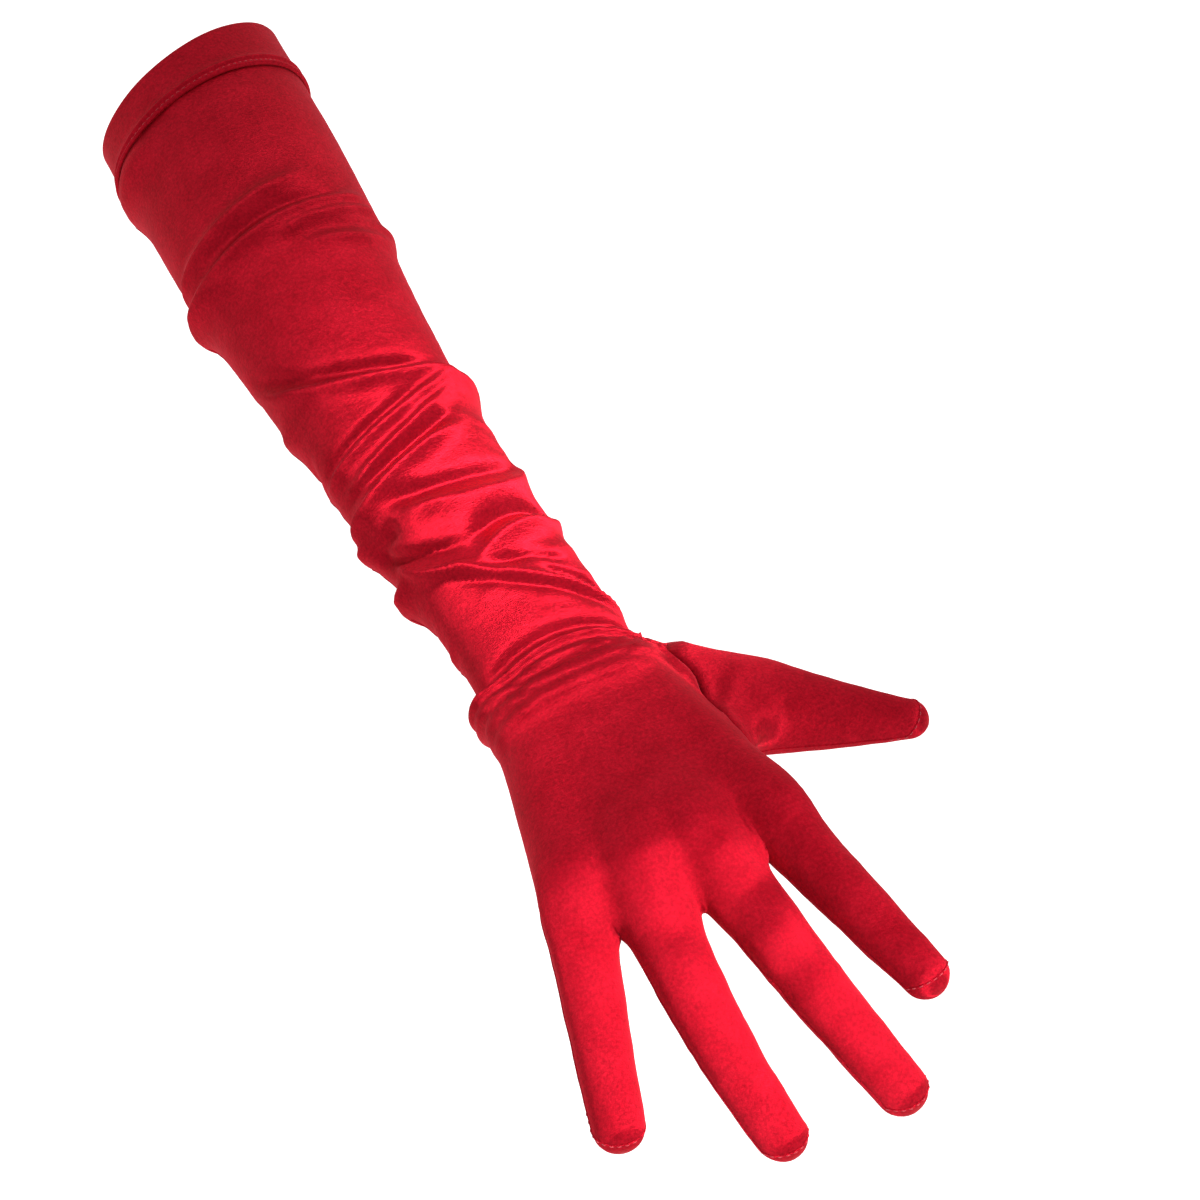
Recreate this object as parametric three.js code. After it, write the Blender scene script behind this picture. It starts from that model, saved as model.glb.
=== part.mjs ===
// A long satin evening glove for the right hand, in the form that it has when worn.
// The origin is the middle of the opening for the arm. +Y points out of that opening, the fingers
// point to -Y, +X is the thumb's side and +Z is the back of the hand. Sizes are in millimetres.
import * as THREE from "three";

// Driving sizes of the sleeve
const SLEEVE_LENGTH = 325;
const OPENING_WIDTH = 84;
const WRIST_WIDTH = 57;
const WRIST_SHIFT = 8;
const RIM_LEAN_SIDE = 11.5;
const RIM_LEAN_TOP = 11;
const HEM_DEPTH = 28;
const FOLD_HEIGHT = 4;
const FOLD_WIDTH = 9;

// Driving sizes of the hand
const PALM_LENGTH = 93;
const PALM_WIDTH = 84;
const KNUCKLE_RISE = 18;
const FINGER_LENGTH = 97;
const FINGER_WIDTH = 20;
const THUMB_LENGTH = 102;
const THUMB_WIDTH = 25;
const WEB_SOFTNESS = 3;

// Cloth
const CLOTH = 1.2;
const HEM_CLOTH = 1.7;
const SEAM_GAP = 0.3;

// Mesh resolution
const AROUND_SLEEVE = 32;
const HEM_ROWS = 5;
const BACK_COLUMNS = 3;
const SIDE_COLUMNS = 3;
const WEB_COLUMNS = 2;
const PALM_ROWS = 11;
const FINGER_RINGS = 8;
const THUMB_RINGS = 7;
const BONE_STEPS = 10;
const RELAX_ROUNDS = 6;

const SATIN_RED = 0xb3122a;

// The lean of the rim fades out over this share of SLEEVE_LENGTH.
const RIM_FADE_SHARE = 0.35;
// A fold is steeper towards the opening than towards the fingers, and its ends run out this fast.
const FOLD_STEEPNESS = { above: 1.35, below: 0.85 };
const FOLD_FADE = 1.8;

// Sections of the sleeve. at: share of SLEEVE_LENGTH from the opening. taper: share of the way from
// OPENING_WIDTH to WRIST_WIDTH. depth: share of the section's width. shift: share of WRIST_SHIFT.
const SLEEVE_SECTIONS = [
  { at: 0.0, taper: 0.0, depth: 0.95, shift: 0.0 },
  { at: 0.18, taper: 0.03, depth: 0.94, shift: -0.1 },
  { at: 0.34, taper: 0.19, depth: 0.92, shift: -0.25 },
  { at: 0.46, taper: 0.45, depth: 0.9, shift: -0.25 },
  { at: 0.58, taper: 0.7, depth: 0.87, shift: -0.1 },
  { at: 0.76, taper: 0.86, depth: 0.83, shift: 0.25 },
  { at: 0.92, taper: 0.98, depth: 0.78, shift: 0.85 },
  { at: 1.0, taper: 0.94, depth: 0.74, shift: 1.0 },
];

// Folds of the gathered cloth. at: share of SLEEVE_LENGTH from the opening, at the top of the arm.
// lean and bow: how far the fold runs towards the fingers over a quarter turn, as shares of
// SLEEVE_LENGTH. from and to: degrees around, 0 at the thumb's side and 90 at the top.
// height: share of FOLD_HEIGHT, below 0 for a dent. width: share of FOLD_WIDTH.
const FOLDS = [
  { at: 0.077, lean: 0.0, bow: 0.0, from: -180, to: 180, height: 0.3, width: 0.45 },
  { at: 0.107, lean: 0.0, bow: 0.0, from: 125, to: 265, height: 1.1, width: 1.0 },
  { at: 0.316, lean: -0.006, bow: -0.02, from: 62, to: 250, height: 0.95, width: 0.8 },
  { at: 0.352, lean: -0.008, bow: -0.01, from: -30, to: 225, height: 0.8, width: 0.75 },
  { at: 0.388, lean: -0.02, bow: -0.014, from: 15, to: 235, height: 0.7, width: 0.9 },
  { at: 0.558, lean: -0.045, bow: -0.012, from: -60, to: 195, height: -0.8, width: 0.8 },
  { at: 0.59, lean: -0.028, bow: -0.01, from: -130, to: 205, height: 1.35, width: 0.8 },
  { at: 0.64, lean: 0.03, bow: -0.02, from: 25, to: 220, height: 0.7, width: 0.5 },
  { at: 0.672, lean: 0.045, bow: -0.03, from: 40, to: 225, height: 0.8, width: 0.5 },
  { at: 0.706, lean: 0.04, bow: -0.025, from: 60, to: 230, height: 0.8, width: 0.5 },
  { at: 0.752, lean: -0.012, bow: -0.01, from: -40, to: 150, height: -0.6, width: 0.85 },
  { at: 0.778, lean: -0.03, bow: -0.02, from: -90, to: 165, height: 1.0, width: 0.8 },
  { at: 0.832, lean: -0.035, bow: -0.03, from: -50, to: 180, height: -0.7, width: 0.75 },
  { at: 0.762, lean: 0.0, bow: 0.0, from: 150, to: 265, height: 1.1, width: 0.6 },
  { at: 0.862, lean: -0.055, bow: 0.0, from: -90, to: 215, height: 0.8, width: 0.7 },
  { at: 0.966, lean: -0.02, bow: 0.0, from: -180, to: 180, height: 0.8, width: 0.5 },
  { at: 0.99, lean: -0.022, bow: 0.0, from: -180, to: 180, height: 1.0, width: 0.5 },
  { at: 1.014, lean: -0.024, bow: 0.0, from: -180, to: 180, height: 0.9, width: 0.5 },
  { at: 1.014, lean: 0.0, bow: 0.0, from: 120, to: 270, height: 1.6, width: 1.3 },
];

// Rows of the sleeve's mesh, which are closer where it folds. to: share of SLEEVE_LENGTH.
const SLEEVE_BANDS = [
  { to: 0.28, rows: 5 },
  { to: 0.42, rows: 11 },
  { to: 0.54, rows: 4 },
  { to: 0.88, rows: 21 },
  { to: 0.95, rows: 3 },
  { to: 1.0, rows: 5 },
];

// Fingers from the thumb's side on. across: share of PALM_WIDTH from the hand's axis. along: share of
// PALM_LENGTH from the wrist. up: share of KNUCKLE_RISE. length: share of FINGER_LENGTH. heading and
// droop: degrees at the knuckle and at the tip. knuckle, joint and tip: radii as shares of FINGER_WIDTH.
// flat: how deep a finger is beside its width.
const FINGERS = [
  { across: 0.357, along: 0.87, up: 1.0, length: 0.88, heading: [6, 15], droop: [-6, 6],
    knuckle: 0.54, joint: 0.495, tip: 0.4, flat: 0.95 },
  { across: 0.06, along: 0.96, up: 1.1, length: 1.07, heading: [6, 24], droop: [4, 34],
    knuckle: 0.58, joint: 0.53, tip: 0.43, flat: 0.95 },
  { across: -0.19, along: 0.96, up: 1.0, length: 1.01, heading: [-11, 18], droop: [6, 36],
    knuckle: 0.63, joint: 0.53, tip: 0.43, flat: 0.95 },
  { across: -0.44, along: 0.87, up: 0.75, length: 0.84, heading: [-17, -12], droop: [10, 34],
    knuckle: 0.6, joint: 0.5, tip: 0.43, flat: 0.95 },
];
// The thumb starts beside the wrist: across and along are the place of its root.
const THUMB = { across: 0.2, along: 0.05, up: -0.25, heading: [48, 60], droop: [2, -2],
  knuckle: 0.78, joint: 0.72, tip: 0.3, flat: 0.8 };
// The web of cloth between thumb and palm runs from the thumb's axis to the first finger's bone. from and
// to: shares along the two. radius: share of THUMB_WIDTH.
const THUMB_WEB = { from: 0.48, to: 0.74, radius: 0.4, flat: 0.7 };
// Rows and columns of the palm's mesh that the thumb's seam goes round
const THUMB_HOLE = { firstRow: 1, rows: 6, columns: 5 };
// Shares of a finger's and of the thumb's length at which the mesh leaves the axis for the palm
const WEB_SHARE = 0.22;
const THUMB_ROOT_SHARE = 0.3;
// The hand's own form takes over from the sleeve's within this share of the palm's rows.
const WRIST_BLEND_SHARE = 0.22;
// Degrees that the round of a tip rises in one ring before its patch
const TIP_SHOULDER = 35;
// How points settle on the hand: the probe's length, the steps, and the least slope they divide by
const SETTLE = { probe: 0.05, steps: 6, leastSlope: 0.2 };
// Share of the way that a point moves to the middle of its neighbours in a round
const RELAX_SHARE = 0.5;

const radians = THREE.MathUtils.degToRad;
const mix = THREE.MathUtils.lerp;
const smooth = (x) => THREE.MathUtils.smoothstep(x, 0, 1);

// Reads a column of a table at a share, on one smooth curve through its rows.
function readTable(rows, share, column) {
  const t = THREE.MathUtils.clamp(share, 0, 1);
  const passed = rows.filter((row) => row.at <= t).length;
  const i = Math.min(passed, rows.length - 1) - 1;
  const slope = (k) => {
    const a = rows[Math.max(0, k - 1)];
    const b = rows[Math.min(rows.length - 1, k + 1)];
    return (b[column] - a[column]) / (b.at - a.at);
  };
  const span = rows[i + 1].at - rows[i].at;
  const u = (t - rows[i].at) / span;
  return (
    rows[i][column] * (2 * u ** 3 - 3 * u ** 2 + 1) +
    slope(i) * span * (u ** 3 - 2 * u ** 2 + u) +
    rows[i + 1][column] * (3 * u ** 2 - 2 * u ** 3) +
    slope(i + 1) * span * (u ** 3 - u ** 2)
  );
}

// How far the gathers push the cloth out at a share of the sleeve and an angle in degrees.
function foldHeight(share, degrees) {
  let height = 0;
  for (const fold of FOLDS) {
    const middle = (fold.from + fold.to) / 2;
    const half = (fold.to - fold.from) / 2;
    const turn = ((((degrees - middle) % 360) + 540) % 360) - 180;
    const whole = half >= 180;
    const reach = whole ? 1 : smooth((1 - Math.abs(turn) / half) * FOLD_FADE);
    const fromTop = whole ? -Math.cos(radians(degrees)) : (middle + turn - 90) / 90;
    const centre = fold.at + fold.lean * fromTop + fold.bow * fromTop ** 2;
    const s = ((share - centre) * SLEEVE_LENGTH) / (fold.width * FOLD_WIDTH);
    const steep = s < 0 ? FOLD_STEEPNESS.above : FOLD_STEEPNESS.below;
    height += fold.height * FOLD_HEIGHT * reach * Math.exp(-((s * steep) ** 2));
  }
  return height;
}

// A point of the sleeve's outside at a distance along the arm.
function sleevePoint(along, degrees) {
  const share = along / SLEEVE_LENGTH;
  const width = mix(OPENING_WIDTH, WRIST_WIDTH, readTable(SLEEVE_SECTIONS, share, "taper")) / 2;
  const depth = width * readTable(SLEEVE_SECTIONS, share, "depth");
  const grown = foldHeight(share, degrees);
  const cos = Math.cos(radians(degrees));
  const sin = Math.sin(radians(degrees));
  const lean = Math.max(0, 1 - share / RIM_FADE_SHARE) ** 2;
  return new THREE.Vector3(
    WRIST_SHIFT * readTable(SLEEVE_SECTIONS, share, "shift") + (width + grown) * cos,
    -along + lean * (RIM_LEAN_SIDE * cos - RIM_LEAN_TOP * sin),
    (depth + grown) * sin,
  );
}

// Walks along a finger's axis, whose heading and droop change evenly from the knuckle to the tip.
function walkAxis(root, length, heading, droop) {
  const points = [root];
  for (let i = 0; i < BONE_STEPS; i += 1) {
    const t = (i + 0.5) / BONE_STEPS;
    const turn = radians(mix(heading[0], heading[1], t));
    const fall = radians(mix(droop[0], droop[1], t));
    const step = new THREE.Vector3(
      Math.sin(turn) * Math.cos(fall),
      -Math.cos(turn) * Math.cos(fall),
      -Math.sin(fall),
    );
    points.push(points[i].clone().addScaledVector(step, length / BONE_STEPS));
  }
  return points;
}

// A digit: the points of its axis and its radius at each.
function makeDigit(row, length, width) {
  const root = new THREE.Vector3(
    WRIST_SHIFT + row.across * PALM_WIDTH,
    -SLEEVE_LENGTH - row.along * PALM_LENGTH,
    row.up * KNUCKLE_RISE,
  );
  const axis = walkAxis(root, length, row.heading, row.droop);
  const radii = axis.map((_, i) => {
    const t = i / BONE_STEPS;
    const toJoint = mix(row.knuckle, row.joint, smooth(t * 2));
    const toTip = mix(row.joint, row.tip, t * 2 - 1);
    return (t < 0.5 ? toJoint : toTip) * width;
  });
  return { axis, radii, flat: row.flat };
}

const fingers = FINGERS.map((row) => makeDigit(row, row.length * FINGER_LENGTH, FINGER_WIDTH));
const thumb = makeDigit(THUMB, THUMB_LENGTH, THUMB_WIDTH);

// Each ray of the hand runs from the wrist through its knuckle to the fingertip.
const wristDepth = (WRIST_WIDTH / 2) * readTable(SLEEVE_SECTIONS, 1, "depth");
const rays = fingers.map(({ axis, radii }, i) => {
  const side = mix(0.5, -0.5, i / (fingers.length - 1));
  const start = new THREE.Vector3(WRIST_SHIFT + side * (WRIST_WIDTH - 2 * wristDepth), -SLEEVE_LENGTH, 0);
  return { axis: [start, ...axis], radii: [wristDepth, ...radii], flat: 1 };
});
rays.push(thumb, makeThumbWeb());

function makeThumbWeb() {
  const along = new THREE.CatmullRomCurve3(thumb.axis).getPointAt(THUMB_WEB.from);
  const across = rays[0].axis[0].clone().lerp(rays[0].axis[1], THUMB_WEB.to);
  const radius = THUMB_WEB.radius * THUMB_WIDTH;
  return { axis: [along, across], radii: [radius, radius], flat: THUMB_WEB.flat };
}

// Distance from a point to a chain of tapered bones, less the flesh around them.
function distanceToRay(point, { axis, radii, flat }) {
  let least = Infinity;
  const bone = new THREE.Vector3();
  const from = new THREE.Vector3();
  for (let i = 0; i + 1 < axis.length; i += 1) {
    bone.subVectors(axis[i + 1], axis[i]);
    from.subVectors(point, axis[i]);
    const t = THREE.MathUtils.clamp(from.dot(bone) / bone.lengthSq(), 0, 1);
    from.addScaledVector(bone, -t).z /= flat;
    least = Math.min(least, from.length() - mix(radii[i], radii[i + 1], t));
  }
  return least;
}

// Distance to the whole hand, whose rays run into each other softly.
function distanceToHand(point) {
  let sum = 0;
  for (const ray of rays) sum += Math.exp(-distanceToRay(point, ray) / WEB_SOFTNESS);
  return -WEB_SOFTNESS * Math.log(sum);
}

// Moves a point on to the surface of the hand.
function settle(point) {
  const probe = new THREE.Vector3();
  const slope = new THREE.Vector3();
  for (let step = 0; step < SETTLE.steps; step += 1) {
    const here = distanceToHand(point);
    for (const axis of ["x", "y", "z"]) {
      probe.copy(point)[axis] += SETTLE.probe;
      slope[axis] = (distanceToHand(probe) - here) / SETTLE.probe;
    }
    point.addScaledVector(slope, -here / Math.max(SETTLE.leastSlope, slope.lengthSq()));
  }
  return point;
}

// The hand's mesh as points and four-sided faces, whose corners run round each face seen from outside.
const points = [];
const faces = [];
const addPoint = (point) => points.push(point) - 1;
const addFace = (piece, ...corners) => faces.push({ piece, corners });

const backColumns = fingers.length * BACK_COLUMNS + (fingers.length - 1) * WEB_COLUMNS;
const around = 2 * (backColumns + SIDE_COLUMNS);
const fingerStep = BACK_COLUMNS + WEB_COLUMNS;

// The frame of a digit at a share of its axis: its middle, the side vector, the up vector and its radius.
function frameOf({ axis, radii }, share) {
  const at = share * BONE_STEPS;
  const i = Math.min(BONE_STEPS - 1, Math.floor(at));
  const ahead = new THREE.Vector3().subVectors(axis[i + 1], axis[i]).normalize();
  const side = new THREE.Vector3(-ahead.y, ahead.x, 0).normalize();
  return {
    middle: axis[i].clone().lerp(axis[i + 1], at - i),
    ahead,
    side,
    up: new THREE.Vector3().crossVectors(ahead, side),
    radius: mix(radii[i], radii[i + 1], at - i),
  };
}
const ringPoint = (frame, degrees, push = 0) => frame.middle.clone()
  .addScaledVector(frame.side, frame.radius * Math.cos(radians(degrees)))
  .addScaledVector(frame.up, frame.radius * Math.sin(radians(degrees)))
  .addScaledVector(frame.ahead, push);

// Degrees around a digit of a place in its loop, which has long and short stretches between corners.
function loopDegrees(place, long, short, start) {
  const lengths = [long, short, long, short];
  let rest = place;
  let degrees = start;
  for (const length of lengths) {
    if (rest <= length) return degrees + (90 * rest) / length;
    rest -= length;
    degrees += 90;
  }
  return degrees;
}

// The palm's last ring passes the foot of every finger, over the back and then under the palm.
const feet = fingers.map((finger) => frameOf(finger, WEB_SHARE));
const lastRing = [];
for (const [f, foot] of feet.entries()) {
  for (let i = 0; i <= BACK_COLUMNS; i += 1) {
    lastRing.push(ringPoint(foot, 45 + (90 * i) / BACK_COLUMNS));
  }
  for (let i = 1; i < WEB_COLUMNS && f + 1 < feet.length; i += 1) {
    lastRing.push(ringPoint(foot, 135).lerp(ringPoint(feet[f + 1], 45), i / WEB_COLUMNS));
  }
}
for (let i = 1; i < SIDE_COLUMNS; i += 1) {
  lastRing.push(ringPoint(feet.at(-1), 135 + (90 * i) / SIDE_COLUMNS));
}
for (const [back, foot] of [...feet].reverse().entries()) {
  const next = feet[feet.length - 2 - back];
  for (let i = 0; i <= BACK_COLUMNS; i += 1) {
    lastRing.push(ringPoint(foot, 225 + (90 * i) / BACK_COLUMNS));
  }
  for (let i = 1; i < WEB_COLUMNS && next; i += 1) {
    lastRing.push(ringPoint(foot, 315).lerp(ringPoint(next, 225), i / WEB_COLUMNS));
  }
}
for (let i = 1; i < SIDE_COLUMNS; i += 1) {
  lastRing.push(ringPoint(feet[0], 315 + (90 * i) / SIDE_COLUMNS));
}

// Degrees around the wrist of each column, which starts at the corner between back and thumb side.
const columnDegrees = (i) => (360 * (i + SIDE_COLUMNS / 2)) / around;
const palm = [];
for (let j = 0; j <= PALM_ROWS; j += 1) {
  const t = j / PALM_ROWS;
  palm.push(lastRing.map((end, i) => {
    const start = sleevePoint(SLEEVE_LENGTH, columnDegrees(i));
    return addPoint(start.lerp(end, t));
  }));
}
const inHole = (j, i) => {
  const column = (i + THUMB_HOLE.columns) % around;
  const row = j - THUMB_HOLE.firstRow;
  return row >= 0 && row < THUMB_HOLE.rows && column < THUMB_HOLE.columns;
};
for (let j = 0; j < PALM_ROWS; j += 1) {
  for (let i = 0; i < around; i += 1) {
    const k = (i + 1) % around;
    if (!inHole(j, i)) addFace("hand", palm[j][i], palm[j][k], palm[j + 1][k], palm[j + 1][i]);
  }
}

// The webs are strips from back to palm between neighbouring fingers.
const palmCorner = (f) => backColumns + SIDE_COLUMNS + (fingers.length - 1 - f) * fingerStep;
const webs = [];
for (let f = 0; f + 1 < fingers.length; f += 1) {
  const grid = [];
  for (let r = 0; r <= SIDE_COLUMNS; r += 1) {
    grid.push([]);
    for (let c = 0; c <= WEB_COLUMNS; c += 1) {
      const ring = palm[PALM_ROWS];
      if (r === 0) grid[r].push(ring[f * fingerStep + BACK_COLUMNS + c]);
      else if (r === SIDE_COLUMNS) grid[r].push(ring[palmCorner(f) - c]);
      else {
        const left = ringPoint(feet[f], 135 + (90 * r) / SIDE_COLUMNS);
        const right = ringPoint(feet[f + 1], 45 - (90 * r) / SIDE_COLUMNS);
        grid[r].push(addPoint(left.lerp(right, c / WEB_COLUMNS)));
      }
    }
  }
  for (let r = 0; r < SIDE_COLUMNS; r += 1) {
    for (let c = 0; c < WEB_COLUMNS; c += 1) {
      addFace("hand", grid[r][c], grid[r][c + 1], grid[r + 1][c + 1], grid[r + 1][c]);
    }
  }
  webs.push(grid);
}

// Runs rings from a loop along a digit and closes its tip with a square patch.
function addDigit(piece, digit, loop, long, short, start, firstShare, rings) {
  const closeRing = (ring, placeOf) => {
    const next = ring.map((_, i) => addPoint(placeOf(i)));
    next.forEach((point, i) => {
      const j = (i + 1) % next.length;
      addFace(piece, ring[i], ring[j], next[j], point);
    });
    return next;
  };
  let ring = loop;
  for (let k = 1; k <= rings; k += 1) {
    const frame = frameOf(digit, mix(firstShare, 1, k / rings));
    ring = closeRing(ring, (i) => ringPoint(frame, loopDegrees(i, long, short, start)));
  }
  const end = frameOf(digit, 1);
  const shoulder = { ...end, radius: end.radius * Math.cos(radians(TIP_SHOULDER)) };
  ring = closeRing(ring, (i) => ringPoint(shoulder, loopDegrees(i, long, short, start),
    end.radius * Math.sin(radians(TIP_SHOULDER))));
  const grid = [];
  for (let r = 0; r <= short; r += 1) {
    grid.push([]);
    for (let c = 0; c <= long; c += 1) {
      if (r === 0) grid[r].push(ring[c]);
      else if (c === long) grid[r].push(ring[long + r]);
      else if (r === short) grid[r].push(ring[2 * long + short - c]);
      else if (c === 0) grid[r].push(ring[2 * long + 2 * short - r]);
      else {
        const upper = ringPoint(shoulder, loopDegrees(c, long, short, start));
        const lower = ringPoint(shoulder, loopDegrees(2 * long + short - c, long, short, start));
        grid[r].push(addPoint(upper.lerp(lower, r / short).addScaledVector(end.ahead, end.radius)));
      }
    }
  }
  for (let r = 0; r < short; r += 1) {
    for (let c = 0; c < long; c += 1) {
      addFace(piece, grid[r][c], grid[r][c + 1], grid[r + 1][c + 1], grid[r + 1][c]);
    }
  }
}
fingers.forEach((finger, f) => {
  const ring = palm[PALM_ROWS];
  const loop = [];
  for (let i = 0; i <= BACK_COLUMNS; i += 1) loop.push(ring[f * fingerStep + i]);
  for (let r = 1; r < SIDE_COLUMNS; r += 1) {
    loop.push(f < webs.length ? webs[f][r][0] : ring[backColumns + r]);
  }
  for (let i = 0; i <= BACK_COLUMNS; i += 1) loop.push(ring[palmCorner(f) + i]);
  for (let r = SIDE_COLUMNS - 1; r > 0; r -= 1) {
    loop.push(f > 0 ? webs[f - 1][r][WEB_COLUMNS] : ring[around - r]);
  }
  addDigit("hand", finger, loop, BACK_COLUMNS, SIDE_COLUMNS, 45, WEB_SHARE, FINGER_RINGS);
});

// The thumb grows from the hole's edge.
const { firstRow, rows: holeRows, columns: holeColumns } = THUMB_HOLE;
const seam = [];
const holePoint = (j, i) => palm[firstRow + j][(around - holeColumns + i) % around];
for (let i = 0; i <= holeColumns; i += 1) seam.push(holePoint(0, i));
for (let j = 1; j <= holeRows; j += 1) seam.push(holePoint(j, holeColumns));
for (let i = holeColumns - 1; i >= 0; i -= 1) seam.push(holePoint(holeRows, i));
for (let j = holeRows - 1; j > 0; j -= 1) seam.push(holePoint(j, 0));
addDigit("thumb", thumb, seam, holeColumns, holeRows, -45, THUMB_ROOT_SHARE, THUMB_RINGS);

// Lists the neighbours of each point.
const neighbours = points.map(() => new Set());
for (const { corners } of faces) {
  corners.forEach((corner, i) => {
    neighbours[corner].add(corners[(i + 1) % 4]);
    neighbours[corners[(i + 1) % 4]].add(corner);
  });
}

// Settles every point on the hand, evens the mesh out and blends it into the sleeve at the wrist.
const wristRing = new Set(palm[0]);
points.forEach((point, i) => wristRing.has(i) || settle(point));
for (let round = 0; round < RELAX_ROUNDS; round += 1) {
  const evened = points.map((point, i) => {
    const middle = new THREE.Vector3();
    for (const other of neighbours[i]) middle.addScaledVector(points[other], 1 / neighbours[i].size);
    return point.clone().lerp(middle, RELAX_SHARE);
  });
  points.forEach((point, i) => wristRing.has(i) || settle(point.copy(evened[i])));
}
for (let j = 1; j < PALM_ROWS; j += 1) {
  const keep = smooth(j / PALM_ROWS / WRIST_BLEND_SHARE);
  palm[j].forEach((index, i) => {
    const point = points[index];
    const tube = sleevePoint(-point.y, columnDegrees(i));
    tube.y = point.y;
    if (keep < 1) point.lerp(tube, 1 - keep);
  });
}

// Adds up the normals of the faces at each point.
function normalsOf(allPoints, allFaces) {
  const normals = allPoints.map(() => new THREE.Vector3());
  for (const { corners } of allFaces) {
    const [a, b, c, d] = corners.map((corner) => allPoints[corner]);
    const normal = new THREE.Vector3().subVectors(c, a).cross(new THREE.Vector3().subVectors(d, b));
    for (const corner of corners) normals[corner].add(normal);
  }
  return normals.map((normal) => normal.normalize());
}

// Turns the normal at an open end square to the arm, so that the end's rim is flat.
function squareToArm(normal) {
  normal.setY(0).normalize();
}

// Makes a closed wall from an outer surface: its copy inside, and a rim along each open edge.
function makeWall(allPoints, normals, corners, wall) {
  const used = [...new Set(corners.flat())];
  const place = new Map(used.map((index, i) => [index, i]));
  const positions = [];
  for (const index of used) positions.push(...allPoints[index].toArray());
  for (const index of used) {
    positions.push(...allPoints[index].clone().addScaledVector(normals[index], -wall).toArray());
  }
  const indices = [];
  const addQuad = (a, b, c, d) => indices.push(a, b, c, a, c, d);
  const inner = used.length;
  const edges = new Set(corners.flatMap((q) => q.map((a, i) => `${a}>${q[(i + 1) % 4]}`)));
  for (const quad of corners) {
    const [a, b, c, d] = quad.map((index) => place.get(index));
    addQuad(a, b, c, d);
    addQuad(a + inner, d + inner, c + inner, b + inner);
    quad.forEach((from, i) => {
      const to = quad[(i + 1) % 4];
      if (edges.has(`${to}>${from}`)) return;
      const p = place.get(from);
      const q = place.get(to);
      addQuad(q, p, p + inner, q + inner);
    });
  }
  const geometry = new THREE.BufferGeometry();
  geometry.setAttribute("position", new THREE.Float32BufferAttribute(positions, 3));
  geometry.setIndex(indices);
  geometry.computeVertexNormals();
  return geometry;
}

// A tube of cloth between two distances along the arm, with its rows in bands.
function makeTube(from, bands, wall) {
  const rows = [from];
  for (const { to, rows: count } of bands) {
    const start = rows.at(-1);
    for (let j = 1; j <= count; j += 1) rows.push(mix(start, to, j / count));
  }
  const tubePoints = [];
  const tubeFaces = [];
  for (const along of rows) {
    for (let i = 0; i < AROUND_SLEEVE; i += 1) {
      tubePoints.push(sleevePoint(along, (360 * i) / AROUND_SLEEVE));
    }
  }
  for (let j = 0; j + 1 < rows.length; j += 1) {
    for (let i = 0; i < AROUND_SLEEVE; i += 1) {
      const k = (i + 1) % AROUND_SLEEVE;
      const row = j * AROUND_SLEEVE;
      const next = row + AROUND_SLEEVE;
      tubeFaces.push({ corners: [row + i, row + k, next + k, next + i] });
    }
  }
  const normals = normalsOf(tubePoints, tubeFaces);
  for (let i = 0; i < AROUND_SLEEVE; i += 1) {
    squareToArm(normals[i]);
    squareToArm(normals.at(-1 - i));
  }
  return makeWall(tubePoints, normals, tubeFaces.map((face) => face.corners), wall);
}

function makeHandPiece(piece) {
  const normals = normalsOf(points, faces);
  const corners = faces.filter((face) => face.piece === piece).map((face) => face.corners);
  const moved = points.map((point) => point.clone());
  if (piece === "hand") {
    for (const index of wristRing) {
      moved[index].y -= SEAM_GAP / 2;
      squareToArm(normals[index]);
    }
  } else {
    const own = new Set(corners.flat());
    for (const index of seam) {
      const outward = [...neighbours[index]].find((other) => own.has(other) && !seam.includes(other));
      const reach = points[outward].distanceTo(points[index]);
      moved[index].lerp(points[outward], SEAM_GAP / reach);
    }
  }
  return makeWall(moved, normals, corners, CLOTH);
}

function makeMesh(name, geometry) {
  const material = new THREE.MeshStandardMaterial({ color: SATIN_RED, roughness: 0.35, metalness: 0 });
  const mesh = new THREE.Mesh(geometry, material);
  mesh.name = name;
  return mesh;
}

const hemBands = [{ to: HEM_DEPTH, rows: HEM_ROWS }];
const sleeveEnd = SLEEVE_LENGTH - SEAM_GAP / 2;
const sleeveBands = SLEEVE_BANDS.map(({ to, rows }) => ({ to: to * sleeveEnd, rows }));

const glove = new THREE.Group();
glove.add(makeMesh("top_hem", makeTube(0, hemBands, HEM_CLOTH)));
glove.add(makeMesh("sleeve", makeTube(HEM_DEPTH + SEAM_GAP, sleeveBands, CLOTH)));
glove.add(makeMesh("hand", makeHandPiece("hand")));
glove.add(makeMesh("thumb", makeHandPiece("thumb")));

export default glove;
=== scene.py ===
"""Dresses the frame of a long satin evening glove: cloth with its gathers, hem, seams and stitches.

The glove's own frame: the origin is the middle of the opening for the arm, +Y points out of it,
the fingers point to -Y, +X is the thumb's side and +Z the back of the hand. Forms are worked out
in millimetres and turned into metres where meshes are made.
"""
import math
import random

import bpy
import numpy as np
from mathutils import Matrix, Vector, noise
from mathutils.bvhtree import BVHTree
from mathutils.kdtree import KDTree


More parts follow.
